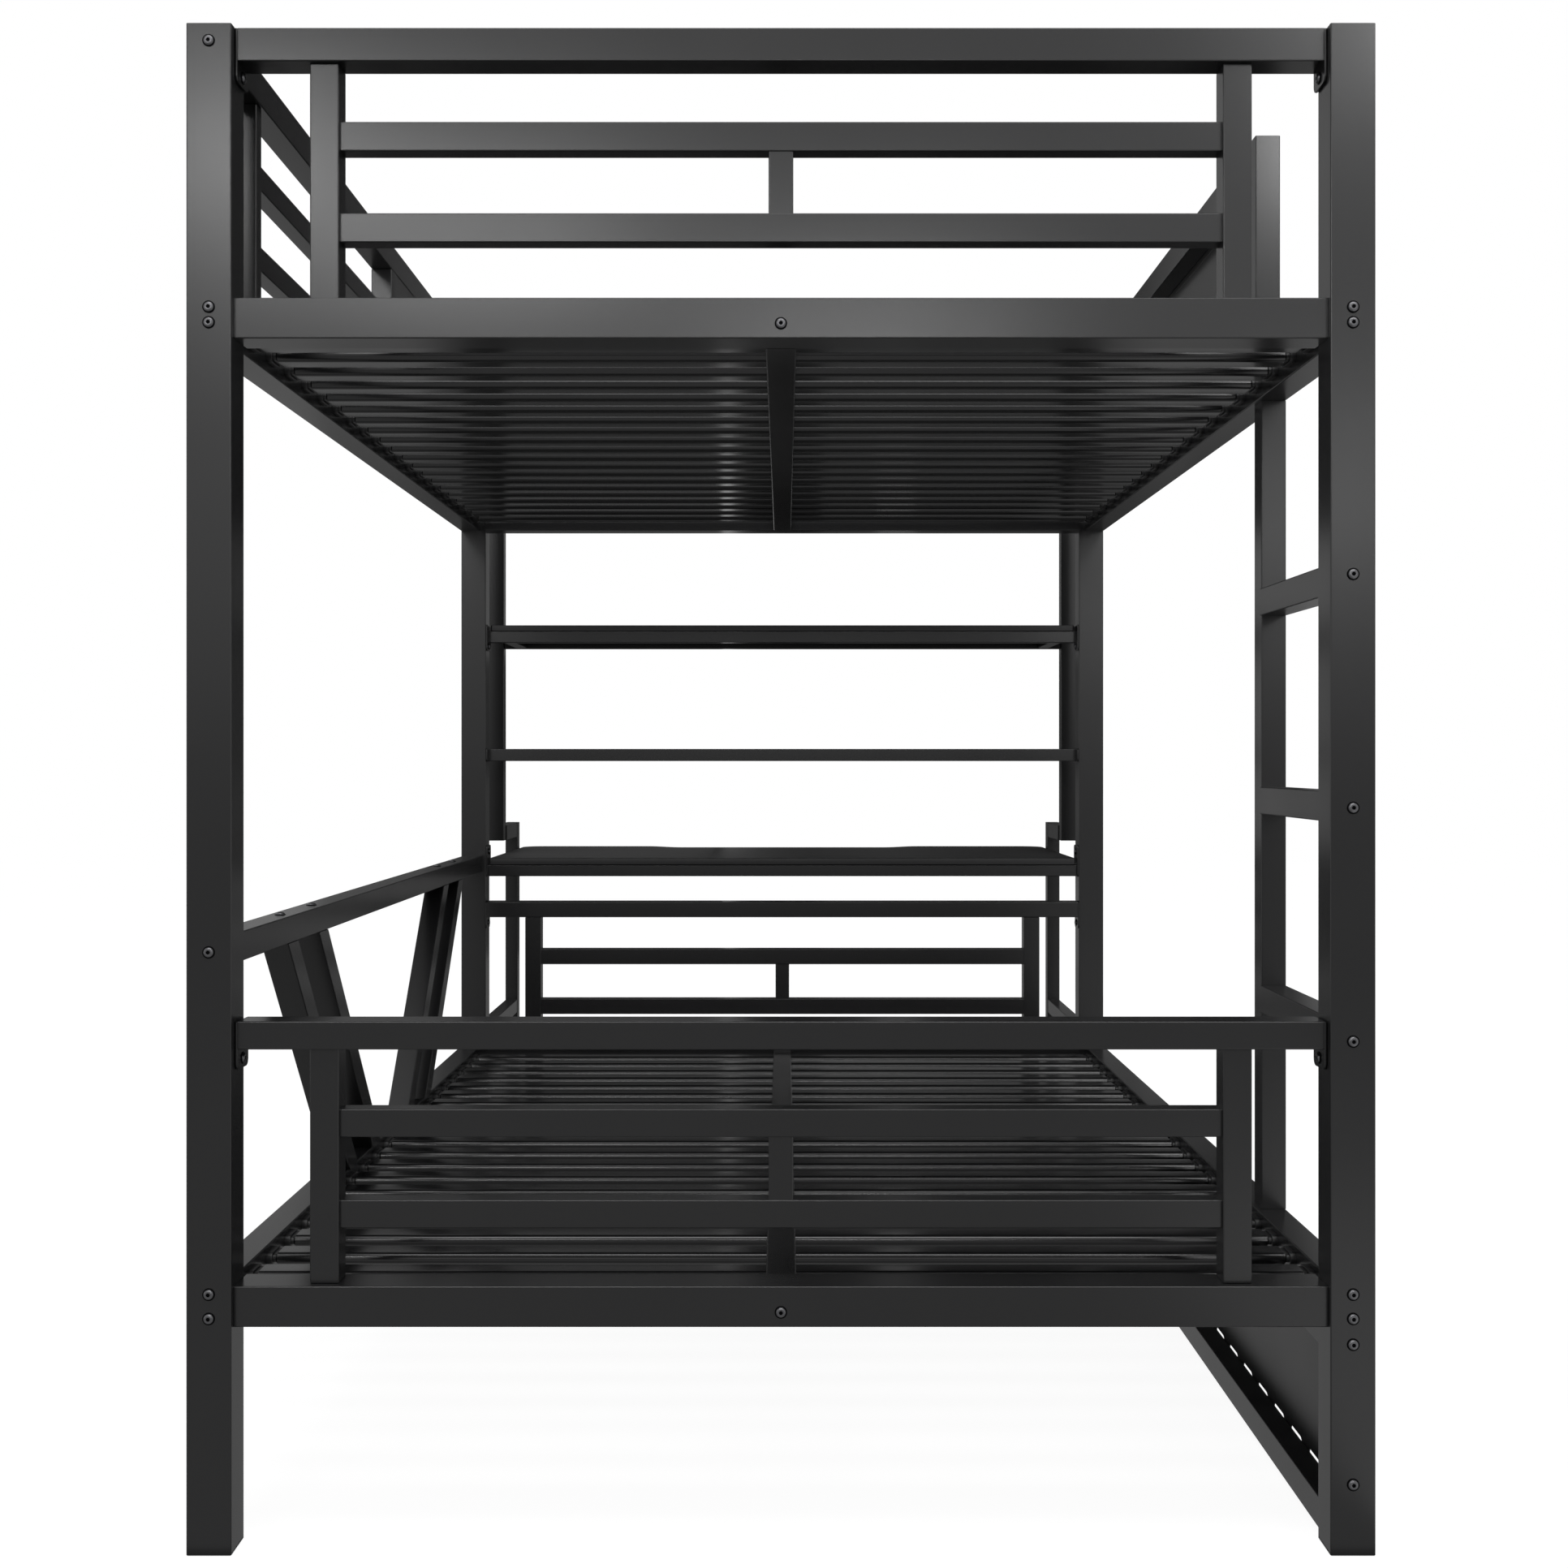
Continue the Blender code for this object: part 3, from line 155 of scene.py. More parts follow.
def add_sheen(tree, shader, pattern, roughness, wander):
    """Lets the roughness wander to both sides of a middle value."""
    span = {"To Min": roughness - wander, "To Max": roughness + wander}
    sheen = add_node(tree, "ShaderNodeMapRange", span, {"Value": pattern})
    tree.links.new(sheen.outputs["Result"], shader.inputs["Roughness"])


def add_relief(tree, shader, pattern, depth):
    """Raises the surface along a pattern by up to a depth in metres."""
    settings = {"Strength": 1.0, "Distance": depth}
    bump = add_node(tree, "ShaderNodeBump", settings, {"Height": pattern})
    tree.links.new(bump.outputs["Normal"], shader.inputs["Normal"])


# %% [markdown]
# Polyester powder coat is dry powder that is sprayed on bare steel and baked until it
# flows together. It levels almost flat, but keeps the slight waviness that painters
# call orange peel, and its sheen is satin: a lamp shows in it as a soft streak, not as
# a mirror image. Two noise patterns carry that: one of 2.5 mm for the peel, which real
# coats keep at about 1 to 2 mm and which is drawn a little coarser to show at all, and
# a slow one of 180 mm that lets the sheen wander along a tube, as it does where the
# powder lies thicker. A cured polyester has an index of refraction of about 1.5.

# %% Satin black powder coat
PEEL_SIZE = mm(2.5)
POWDER_DRIFT = mm(180)
COAT_SHADES = ("#111112", "#171718")


def powder_coat(name, roughness, wander, peel_depth):
    """Baked powder on steel: a near-black body, a satin sheen and orange peel."""
    material, tree, shader, place = new_material(name, {"IOR": 1.5})
    slow = add_node(tree, "ShaderNodeTexNoise",
                    {"Scale": per_metre(POWDER_DRIFT), "Detail": 2.0}, {"Vector": place})
    peel = add_node(tree, "ShaderNodeTexNoise",
                    {"Scale": per_metre(PEEL_SIZE), "Detail": 1.0}, {"Vector": place})
    add_tint(tree, shader, slow.outputs["Fac"], COAT_SHADES)
    add_sheen(tree, shader, slow.outputs["Fac"], roughness, wander)
    add_relief(tree, shader, peel.outputs["Fac"], peel_depth)
    return material


coated_tube = powder_coat("powder_coated_steel_tube", 0.25, 0.02, mm(0.006))
coated_slat = powder_coat("powder_coated_slat_tube", 0.18, 0.02, mm(0.004))
coated_sheet = powder_coat("powder_coated_sheet_steel", 0.32, 0.03, mm(0.006))
print("coats:", coated_tube.name, coated_slat.name, coated_sheet.name)

# %% [markdown]
# The boards are particle board under a dark melamine laminate. Melamine is pressed
# against a plate with a fine pearl texture, so it looks matt from most sides and only
# shines at a low angle. The pearls are well under a millimetre wide and are drawn at
# 1.6 mm, so that they show at all. The printed paper under them varies in clouds of
# about 90 mm. The board's edges are closed by a band of ABS, a little glossier, whose
# rolled grain is drawn at 3 mm.

# %% Dark laminate and its edge band
CLOUD_SIZE = mm(90)
LAMINATE_SHADES = ("#252526", "#2c2c2d")
BAND_SHADES = ("#161617", "#1a1a1b")


def pressed_laminate(name, shades, roughness, pearl_size, pearl_depth):
    """Melamine laminate with the pearl texture of its press plate."""
    material, tree, shader, place = new_material(name, {"Roughness": roughness, "IOR": 1.48})
    cloud = add_node(tree, "ShaderNodeTexNoise",
                     {"Scale": per_metre(CLOUD_SIZE), "Detail": 3.0}, {"Vector": place})
    pearl = add_node(tree, "ShaderNodeTexVoronoi",
                     {"Scale": per_metre(pearl_size)}, {"Vector": place})
    add_tint(tree, shader, cloud.outputs["Fac"], shades)
    add_relief(tree, shader, pearl.outputs["Distance"], pearl_depth)
    return material


laminate = pressed_laminate("pressed_melamine_laminate", LAMINATE_SHADES, 0.50, mm(1.6), mm(0.03))
edge_band = pressed_laminate("extruded_abs_edge_band", BAND_SHADES, 0.40, mm(3.0), mm(0.01))
print("boards:", laminate.name, edge_band.name)

# %% [markdown]
# The feet and the slats' end sockets are moulded polypropylene. A spark-eroded mould
# leaves a fine, even grain of about 0.5 mm, drawn at 1 mm here so that it shows.
# The bolts are steel with a black oxide skin: a dark metal, rougher than bare steel.
# The bath leaves its sheen uneven in patches of about 4 mm. The washers and the
# sockets in the heads take a darker, duller copy of the same steel, as painted shade for the gap under
# each rim and the hollow socket.

# %% Moulded plastic and blackened bolts
OXIDE_PATCH = mm(4)


def moulded_plastic(name, colour, roughness, grain_size, grain_depth):
    """Injection-moulded polypropylene with an eroded grain."""
    settings = {"Base Color": linear(colour), "Roughness": roughness, "IOR": 1.49}
    material, tree, shader, place = new_material(name, settings)
    grain = add_node(tree, "ShaderNodeTexNoise",
                     {"Scale": per_metre(grain_size), "Detail": 2.0}, {"Vector": place})
    add_relief(tree, shader, grain.outputs["Fac"], grain_depth)
    return material


def black_oxide(name, colour, roughness, wander):
    """Blackened steel: metallic and dark, with a slightly uneven sheen."""
    settings = {"Base Color": linear(colour), "Metallic": 1.0}
    material, tree, shader, place = new_material(name, settings)
    patches = add_node(tree, "ShaderNodeTexNoise",
                       {"Scale": per_metre(OXIDE_PATCH), "Detail": 2.0}, {"Vector": place})
    add_sheen(tree, shader, patches.outputs["Fac"], roughness, wander)
    return material


plastic = moulded_plastic("moulded_polypropylene", "#141415", 0.42, mm(1.0), mm(0.02))
bolt_steel = black_oxide("black_oxide_bolt_steel", "#5e5e60", 0.32, 0.05)
# A darker copy of the bolt steel: painted shade for the washers and the sockets.
shaded_oxide_steel = black_oxide("black_oxide_painted_shade", "#0c0c0d", 0.50, 0.05)
print("small parts:", plastic.name, bolt_steel.name, shaded_oxide_steel.name)

# %% [markdown]
# Square tube is rolled from strip, so its corners are never sharp: on a 1 mm wall the
# outer radius is about 2 mm. Those corners matter more than anything else in a picture
# of a black tube, because each one catches a thin line of light. A section is therefore
# drawn as points on four arcs, and a tube is a row of such sections joined by faces.

# %% Rounded sections
ARC_STEPS = 4
LEAST_RADIUS = mm(0.2)


def rounded_section(width, height, radius):
    """Points round a rectangle with rounded corners, centred on zero, turning left."""
    radius = min(radius, width / 2, height / 2)
    points = []
    for turn, (across, up) in enumerate(((1, -1), (1, 1), (-1, 1), (-1, -1))):
        centre_x = across * (width / 2 - radius)
        centre_y = up * (height / 2 - radius)
        for step in range(ARC_STEPS + 1):
            angle = math.tau / 4 * (turn - 1 + step / ARC_STEPS)
            points.append((centre_x + radius * math.cos(angle), centre_y + radius * math.sin(angle)))
    return points


def section_ring(mesh, box, run, place, radius, inset, slide):
    """One section of a box as vertices, at a place along its run."""
    low, high = box
    across, up = (run + 1) % 3, (run + 2) % 3
    width = high[across] - low[across] - 2 * inset
    height = high[up] - low[up] - 2 * inset
    ring = []
    for first, second in rounded_section(width, height, max(radius - inset, LEAST_RADIUS)):
        spot = Vector((0.0, 0.0, 0.0))
        spot[run] = place
        spot[across] = (low[across] + high[across]) / 2 + first
        spot[up] = (low[up] + high[up]) / 2 + second
        spot[Y] += slide
        ring.append(mesh.verts.new(spot))
    return ring


print("points round one tube section:", len(rounded_section(1.0, 1.0, 0.1)))

# %% [markdown]
# Neighbouring sections have their points in the same order, so a band of quads joins
# them like a skin, and the first and the last section can close the ends.

# %% A skin over a row of sections


def skin(mesh, first, second):
    """Joins two rings with as many points by a band of quads."""
    for index in range(len(first)):
        after = (index + 1) % len(first)
        mesh.faces.new((first[index], first[after], second[after], second[index]))


def skin_all(mesh, rings, capped=True):
    """Joins a row of rings, and closes its two ends where asked."""
    for first, second in zip(rings, rings[1:]):
        skin(mesh, first, second)
    if capped:
        mesh.faces.new(list(reversed(rings[0])))
        mesh.faces.new(rings[-1])


print("faces of a closed bar:", 3 * 4 * (ARC_STEPS + 1) + 2)

# %% [markdown]
# Three kinds of tube end occur here. A tube that butts against a post stays open. A
# post's top is closed by a welded cap. A bar inside a welded frame runs into its
# neighbour, so it is drawn as a closed bar whose end lies just inside that neighbour.

# %% Open, capped and welded tubes


def rings_along(mesh, box, run, stations, radius=TUBE_CORNER, lean=0.0):
    """A ring for each station: a place along the run and an inset. Lean moves the high end in Y."""
    low, high = box[0][run], box[1][run]
    rings = []
    for place, inset in stations:
        slide = lean * (place - low) / (high - low)
        rings.append(section_ring(mesh, box, run, place, radius, inset, slide))
    return rings


def add_bar(mesh, box, run, radius=TUBE_CORNER, soft=SOFT_EDGE):
    """A closed bar with rounded long edges and softened ends."""
    low, high = box[0][run], box[1][run]
    stations = ((low, soft), (low + soft, 0.0), (high - soft, 0.0), (high, soft))
    skin_all(mesh, rings_along(mesh, box, run, stations, radius))


def add_open_tube(mesh, box, run, lean=0.0):
    """A hollow tube that is open at both ends."""
    low, high = box[0][run], box[1][run]
    stations = ((low, 0.0), (high, 0.0), (high, TUBE_WALL), (low, TUBE_WALL))
    rings = rings_along(mesh, box, run, stations, lean=lean)
    skin_all(mesh, rings + [rings[0]], capped=False)


def add_capped_tube(mesh, box, run, wall=TUBE_WALL):
    """A hollow tube with an open low end and a cap welded on its high end."""
    low, high = box[0][run], box[1][run]
    stations = ((high - 2 * wall, wall), (low, wall), (low, 0.0),
                (high - SOFT_EDGE, 0.0), (high, SOFT_EDGE))
    skin_all(mesh, rings_along(mesh, box, run, stations))


print("a tube's wall is", TUBE_WALL * 1000, "mm")

# %% [markdown]
# Most places are boxes along the axes, either the construction model's own or built
# from three spans. Two helpers make such a box and cut it shorter.

# %% Boxes


def box_of(x_span, y_span, z_span):
    """The lowest and highest corner of a box from its three spans."""
    spans = (x_span, y_span, z_span)
    return Vector([min(span) for span in spans]), Vector([max(span) for span in spans])


def trimmed(box, axis, low_cut=0.0, high_cut=0.0):
    """A copy of a box, made shorter at one or both ends along one axis."""
    low, high = box[0].copy(), box[1].copy()
    low[axis] += low_cut
    high[axis] -= high_cut
    return low, high


print("a box of 1 by 2 by 3 mm:", box_of((0, mm(1)), (0, mm(2)), (0, mm(3)))[1])

# %% [markdown]
# A new piece has to say which construction nodes it stands for and which body it moves
# with. Round corners are shaded smooth. The weighted normals keep the wide flat faces
# flat in the light, because each corner normal then follows the largest face that it
# belongs to.

# %% Turning geometry into a piece
SMOOTH_LIMIT = math.radians(50)
made_pieces = []


def make_piece(name, mesh, materials, nodes=()):
    """Makes an object of finished geometry, rides it and lets it stand for its nodes."""
    bmesh.ops.recalc_face_normals(mesh, faces=mesh.faces)
    data = bpy.data.meshes.new(name)
    mesh.to_mesh(data)
    mesh.free()
    for material in materials:
        data.materials.append(material)
    data.shade_smooth()
    data.set_sharp_from_angle(angle=SMOOTH_LIMIT)
    piece = bpy.data.objects.new(name, data)
    bpy.context.scene.collection.objects.link(piece)
    weighted = piece.modifiers.new("flat faces stay flat", "WEIGHTED_NORMAL")
    weighted.keep_sharp = True
    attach(piece, ROOT)
    if nodes:
        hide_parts(*nodes)
    made_pieces.append(name)
    return piece


def steel_piece(name, mesh, node, material=coated_tube):
    """A piece of coated steel that stands for one construction node."""
    return make_piece(name, mesh, [material], [node])


# %% [markdown]
# A button-head bolt is a turned dome with a hexagonal socket. It is drawn as rings
# about one axis, so its profile is a short table. The lowest rings make a thin washer.

# %% The profile of a bolt head
HEAD_RADIUS = mm(7.5)
BOLT_POINTS = 36
SOCKET_HALF_FLAT = mm(2.3)
SOCKET_DEPTH = mm(1.8)
SOCKET_LIP = mm(0.2)
WASHER_RINGS = 4

# Height and radius of each ring of a head, from the washer up.
HEAD_PROFILE = (
    (mm(-0.4), HEAD_RADIUS),
    (mm(0.7), HEAD_RADIUS),
    (mm(1.0), mm(7.2)),
    (mm(1.1), mm(6.2)),
    (mm(2.0), mm(5.9)),
    (mm(2.8), mm(5.2)),
    (mm(3.3), mm(4.3)),
    (HEAD_HEIGHT, mm(3.4)),
)
print("a bolt head is", HEAD_RADIUS * 2000, "mm wide")

# %% [markdown]
# The socket's ring has as many points as the dome's rings, each pulled in to the flat
# of a hexagon, so that the dome can run down into the socket without a cut. The washer
# and the socket take the darker copy of the steel, painted shade that gives each head a dark rim and a
# dark eye.

# %% Bolts


def hexagon_radius(angle):
    """Distance from the middle of a hexagon to its side, in a direction."""
    sixth = math.tau / 6
    return SOCKET_HALF_FLAT / math.cos(angle % sixth - sixth / 2)


def add_bolt(mesh, seat, direction):
    """A button-head bolt whose head rises from a face."""
    turn = direction.to_track_quat("Z", "Y")
    angles = [math.tau * index / BOLT_POINTS for index in range(BOLT_POINTS)]

    def ring(height, radii):
        """One turn of points at a height above the face."""
        spots = [Vector((r * math.cos(a), r * math.sin(a), height)) for a, r in zip(angles, radii)]
        return [mesh.verts.new(seat + turn @ spot) for spot in spots]

    rings = [ring(height, [radius] * BOLT_POINTS) for height, radius in HEAD_PROFILE]
    socket = [hexagon_radius(angle) for angle in angles]
    rings.append(ring(HEAD_HEIGHT - SOCKET_LIP, socket))
    rings.append(ring(HEAD_HEIGHT - SOCKET_DEPTH, socket))
    skin_all(mesh, rings)
    # The washer rings and the socket faces take the darker copy: painted shade.
    painted_shade_parts = (set(sum(rings[:WASHER_RINGS], [])), set(rings[-1] + rings[-2]))
    for found in mesh.faces:
        if any(part.issuperset(found.verts) for part in painted_shade_parts):
            found.material_index = 1


def bolt_piece(name, seats):
    """A set of bolts of one kind in one place of the bed."""
    mesh = bmesh.new()
    for seat, direction in seats:
        add_bolt(mesh, seat, direction)
    return make_piece(name, mesh, [bolt_steel, shaded_oxide_steel])


OUTWARD = {"near": Vector((0.0, -1.0, 0.0)), "far": Vector((0.0, 1.0, 0.0))}
UPWARD = Vector((0.0, 0.0, 1.0))
print("points round a bolt head:", BOLT_POINTS)

# %% [markdown]
# The four posts come first, because everything bolts to them. Each is a 54 mm square
# tube on a plastic foot, with a cap welded into its top. Their boxes also give the
# lines that the rest is placed by: the near and the far face, the sides, the top, and
# the height of each bunk.

# %% The lines of the frame
POST_WIDTH = mm(54)
foot_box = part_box("near_left_foot")
NEAR_Y = foot_box[0][Y]
FAR_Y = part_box("far_left_foot")[1][Y]
FRAME_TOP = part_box("near_left_post")[1][Z]
POST_OUTER_X = -foot_box[0][X]
POST_INNER_X = POST_OUTER_X - POST_WIDTH
POST_CENTRE_X = POST_OUTER_X - POST_WIDTH / 2
BED_HEIGHTS = {level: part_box(f"{level}_slat_deck")[0][Z] for level in LEVELS}
print("posts stand", round((FAR_Y - NEAR_Y) * 1000), "mm apart over all")

# %% [markdown]
# The bolts on a post's outer face mark where the rails, the rungs, the guard and the
# brace are held from inside, so each post has its own set.

# %% Heights of the post bolts
GUARD_BOLT_DROP = mm(21)
RAIL_BOLT_RISES = {"upper": (mm(17), mm(35.5)), "lower": (mm(13), mm(42))}
TAB_BOLT = mm(85)
BRACE_BOLT_RISE = mm(450.5)


def middle_height(node):
    """Height of the middle of a construction node."""
    return sum(corner[Z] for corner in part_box(node)) / 2


GUARD_BOLT = FRAME_TOP - GUARD_BOLT_DROP
RUNG_BOLTS = [middle_height(f"ladder_rung_{number}") for number in (1, 2, 3)]
RAIL_BOLTS = [BED_HEIGHTS[level] + rise for level in LEVELS for rise in RAIL_BOLT_RISES[level]]
PANEL_BOLTS = [middle_height("panel_top_rail"), TAB_BOLT]
BRACE_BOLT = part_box("panel_top_rail")[1][Z] + TOUCH_GAP + BRACE_BOLT_RISE


def post_bolts(end, side_name):
    """Heights of the bolts on the outer face of one post."""
    if side_name == "left":
        return RAIL_BOLTS + [GUARD_BOLT, BRACE_BOLT]
    if end == "near":
        return RAIL_BOLTS + PANEL_BOLTS + RUNG_BOLTS
    return RAIL_BOLTS + PANEL_BOLTS + [GUARD_BOLT]


print("bolts on the near right post:", len(post_bolts("near", "right")))

# %% [markdown]
# A foot is one moulding: a flange that the tube stands on, with a softened lower rim,
# and a plug that grips inside the tube. Five rings draw it.

# %% Feet
FOOT_HEIGHT = mm(3)
FOOT_SOFT = mm(0.8)
PLUG_INSET = mm(1.6)


def foot_piece(node):
    """The moulded foot of a post or of a desk leg."""
    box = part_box(node)
    top = box[0][Z] + FOOT_HEIGHT
    stations = (
        (box[0][Z], FOOT_SOFT),
        (box[0][Z] + FOOT_SOFT, 0.0),
        (top, 0.0),
        (top, PLUG_INSET),
        (box[1][Z], PLUG_INSET),
    )
    mesh = bmesh.new()
    skin_all(mesh, rings_along(mesh, box, Z, stations))
    return make_piece(f"{node}_moulded", mesh, [plastic], [node])


print("a foot lifts its tube by", FOOT_HEIGHT * 1000, "mm")

# %% [markdown]
# So a post is three pieces: a capped tube, its bolts and its foot. The near posts'
# bolts point at the camera, and the far ones' away from it.

# %% Posts
POST_WALL = mm(1.2)
for end in ENDS:
    face = NEAR_Y if end == "near" else FAR_Y
    back = face + POST_WIDTH if end == "near" else face - POST_WIDTH
    for side_name, side in SIDES.items():
        node = f"{end}_{side_name}_post"
        x_span = (side * POST_INNER_X, side * POST_OUTER_X)
        mesh = bmesh.new()
        box = box_of(x_span, (face, back), (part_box(node)[0][Z], FRAME_TOP))
        add_capped_tube(mesh, box, Z, POST_WALL)
        steel_piece(f"{node}_tube", mesh, node)
        x = side * POST_CENTRE_X
        seats = [(Vector((x, face, z)), OUTWARD[end]) for z in post_bolts(end, side_name)]
        bolt_piece(f"{node}_bolts", seats)
        foot_piece(f"{end}_{side_name}_foot")
print("posts:", len(ENDS) * len(SIDES))

# %% [markdown]
# Most of the bed is straight tube that butts against something at both ends. Their
# boxes are the construction model's own, less what that model adds to them: a bolt
# head on the end rails and the brace, and the sockets on the side rails.

# %% Straight tubes
SIDE_RAIL_WIDTH = mm(41)
PLAIN_TUBES = {
    "left_guard_top_rail": Y,
    "right_guard_top_rail": Y,
    "ladder_post": Z,
    "ladder_rung_1": Y,
    "ladder_rung_2": Y,
    "ladder_rung_3": Y,
    "panel_floor_rail": Y,
    "panel_top_rail": Y,
    "desk_rear_rail": X,
}


def open_piece(node, box, run):
    """A straight tube that is open at both ends."""
    mesh = bmesh.new()
    add_open_tube(mesh, box, run)
    return steel_piece(f"{node}_tube", mesh, node)


for node, run in PLAIN_TUBES.items():
    open_piece(node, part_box(node), run)

mesh = bmesh.new()
add_capped_tube(mesh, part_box("right_guard_upright"), Z)
steel_piece("right_guard_upright_tube", mesh, "right_guard_upright")

brace_box = trimmed(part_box("brace_rail"), Z, high_cut=HEAD_HEIGHT)
open_piece("brace_rail", brace_box, Y)
print("plain tubes:", len(PLAIN_TUBES) + 2)

# %% [markdown]
# An end rail closes each bunk at head and foot. The bolt in its middle holds the
# centre beam behind it.

# %% End rails
BEAM_BOLT_RISE = mm(18)
for level in LEVELS:
    for end in ENDS:
        node = f"{end}_{level}_end_rail"
        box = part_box(node)
        near = end == "near"
        box = trimmed(box, Y, HEAD_HEIGHT if near else 0.0, 0.0 if near else HEAD_HEIGHT)
        open_piece(node, box, X)
        face = box[0][Y] if near else box[1][Y]
        seat = Vector((0.0, face, box[0][Z] + BEAM_BOLT_RISE))
        bolt_piece(f"{node}_bolt", [(seat, OUTWARD[end])])
print("end rails:", len(LEVELS) * len(ENDS))

# %% [markdown]
# A top rail is welded between two end plates, and each plate is held on its post by
# one bolt under the rail. The plate's free corners are rounded, so that nobody is cut
# by them. Arcs in the corners of a rectangle come back in the slots, the boards and
# the brackets, so one helper draws them all.

# %% Outlines with round corners


def rounded_corners(first_span, second_span, radius, quarters=(0, 1, 2, 3), steps=4):
    """Arcs in the corners of a rectangle. Quarter 0 is at both high ends, and they turn left."""
    points = []
    for quarter in quarters:
        first = first_span[1] - radius if quarter in (0, 3) else first_span[0] + radius
        second = second_span[1] - radius if quarter in (0, 1) else second_span[0] + radius
        for step in range(steps + 1):
            angle = math.tau / 4 * (quarter + step / steps)
            points.append((first + radius * math.cos(angle), second + radius * math.sin(angle)))
    return points


def plate_outline(y_span, z_span, radius):
    """An end plate in Y and Z, with two round corners at its low end."""
    square = [(y_span[1], z_span[1]), (y_span[0], z_span[1])]
    return square + rounded_corners(y_span, z_span, radius, (2, 3), steps=6)


print("points of four round corners:", len(rounded_corners((0, 1), (0, 1), 0.1)))

# %% [markdown]
# An outline is given its thickness along one axis, with its edges drawn in a little on
# both faces. Every plate comes as a pair, one on each side, with a bolt on the inside.

# %% End plates
PLATE_THICKNESS = mm(3)
PLATE_X = POST_INNER_X - TOUCH_GAP


def add_slab(mesh, outline, axis, low, high):
    """A plate with one outline, softened round both of its faces."""
    across, up = (axis + 1) % 3, (axis + 2) % 3
    middle = [sum(point[part] for point in outline) / len(outline) for part in (0, 1)]
    reach = max(abs(point[0] - middle[0]) for point in outline)
    shrink = 1.0 - SOFT_EDGE / reach
    rings = []
    stations = ((low, shrink), (low + SOFT_EDGE, 1.0), (high - SOFT_EDGE, 1.0), (high, shrink))
    for place, share in stations:
        ring = []
        for point in outline:
            spot = Vector((0.0, 0.0, 0.0))
            spot[axis] = place
            spot[across] = middle[0] + (point[0] - middle[0]) * share
            spot[up] = middle[1] + (point[1] - middle[1]) * share
            ring.append(mesh.verts.new(spot))
        rings.append(ring)
    skin_all(mesh, rings)


def add_plates(mesh, outline):
    """The same end plate on both sides of the bed."""
    for side in SIDES.values():
        low, high = sorted((side * PLATE_X, side * (PLATE_X - PLATE_THICKNESS)))
        add_slab(mesh, outline, X, low, high)


def plate_bolts(name, y, z):
    """One bolt on the inner face of each plate."""
    seats = []
    for side in SIDES.values():
        x = side * (PLATE_X - PLATE_THICKNESS)
        seats.append((Vector((x, y, z)), Vector((-side, 0.0, 0.0))))
    return bolt_piece(name, seats)


print("the plates' outer faces are", round(PLATE_X * 2000, 1), "mm apart")

# %% [markdown]
# The rail itself is a closed bar that runs a little way into both plates, as a welded
# one seems to. Rail and plates are one piece, and each plate's bolt sits on its inside.

# %% Top rails of the end frames
TOP_RAIL_HEIGHTS = {"upper": mm(40), "lower": mm(34)}
TOP_RAIL_MARGIN = mm(1)
WELD_SINK = mm(0.6)
PLATE_CORNER = mm(9)
PLATE_BOLT_DROP = mm(13)
WELDED_REACH = PLATE_X - PLATE_THICKNESS + WELD_SINK

for level in LEVELS:
    for end in ENDS:
        node = f"{end}_{level}_top_rail"
        low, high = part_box(node)
        y_span = (low[Y] + TOP_RAIL_MARGIN, high[Y] - TOP_RAIL_MARGIN)
        rail_z = (high[Z] - TOP_RAIL_HEIGHTS[level], high[Z])
        mesh = bmesh.new()
        add_bar(mesh, box_of((-WELDED_REACH, WELDED_REACH), y_span, rail_z), X)
        outline = plate_outline((low[Y], high[Y]), (low[Z], high[Z] - TOP_RAIL_MARGIN), PLATE_CORNER)
        add_plates(mesh, outline)
        steel_piece(f"{node}_welded", mesh, node)
        plate_bolts(f"{node}_bolts", sum(y_span) / 2, rail_z[0] - PLATE_BOLT_DROP)
print("top rails:", len(LEVELS) * len(ENDS))

# %% [markdown]
# Under each top rail stands a welded grille: two upright bars, two crossbars between
# them and a short upright between the crossbars. Welded bars on such beds are ground
# flush and coated over, so no bead is drawn. The two crossbars of the far lower grille
# stand 4 mm higher than the others, as the photograph shows.

# %% Grilles of the end frames
BAR_WIDTH = mm(35)
CROSSBAR_SETBACK = mm(7)
CROSSBAR_DEPTH = mm(29)
CENTRE_UPRIGHT_WIDTH = mm(30)
CENTRE_UPRIGHT_DEPTH = mm(25)
FAR_LOWER_LIFT = mm(4)

# Height of a crossbar, and how far the two rise above the bed.
CROSSBARS = {"upper": (mm(35.5), (mm(120.5), mm(231))), "lower": (mm(34), (mm(114), mm(224)))}

for level in LEVELS:
    height, level_rises = CROSSBARS[level]
    bed = BED_HEIGHTS[level]
    for end in ENDS:
        lift = FAR_LOWER_LIFT if (end, level) == ("far", "lower") else 0.0
        rises = [rise + lift for rise in level_rises]
        node = f"{end}_{level}_infill"
        low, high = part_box(node)
        mesh = bmesh.new()
        for side in SIDES.values():
            x_span = (side * (high[X] - BAR_WIDTH), side * high[X])
            add_bar(mesh, box_of(x_span, (low[Y], high[Y]), (low[Z], high[Z])), Z)
        if end == "near":
            y_span = (low[Y] + CROSSBAR_SETBACK, low[Y] + CROSSBAR_SETBACK + CROSSBAR_DEPTH)
        else:
            y_span = (high[Y] - CROSSBAR_SETBACK - CROSSBAR_DEPTH, high[Y] - CROSSBAR_SETBACK)
        reach = high[X] - BAR_WIDTH + WELD_SINK
        for rise in rises:
            add_bar(mesh, box_of((-reach, reach), y_span, (bed + rise, bed + rise + height)), X)
        half_width, half_depth = CENTRE_UPRIGHT_WIDTH / 2, CENTRE_UPRIGHT_DEPTH / 2
        bar_y = sum(y_span) / 2
        z_span = (bed + rises[0] + height - WELD_SINK, bed + rises[1] + WELD_SINK)
        centre_box = box_of((-half_width, half_width), (bar_y - half_depth, bar_y + half_depth), z_span)
        add_bar(mesh, centre_box, Z)
        steel_piece(f"{node}_welded", mesh, node)
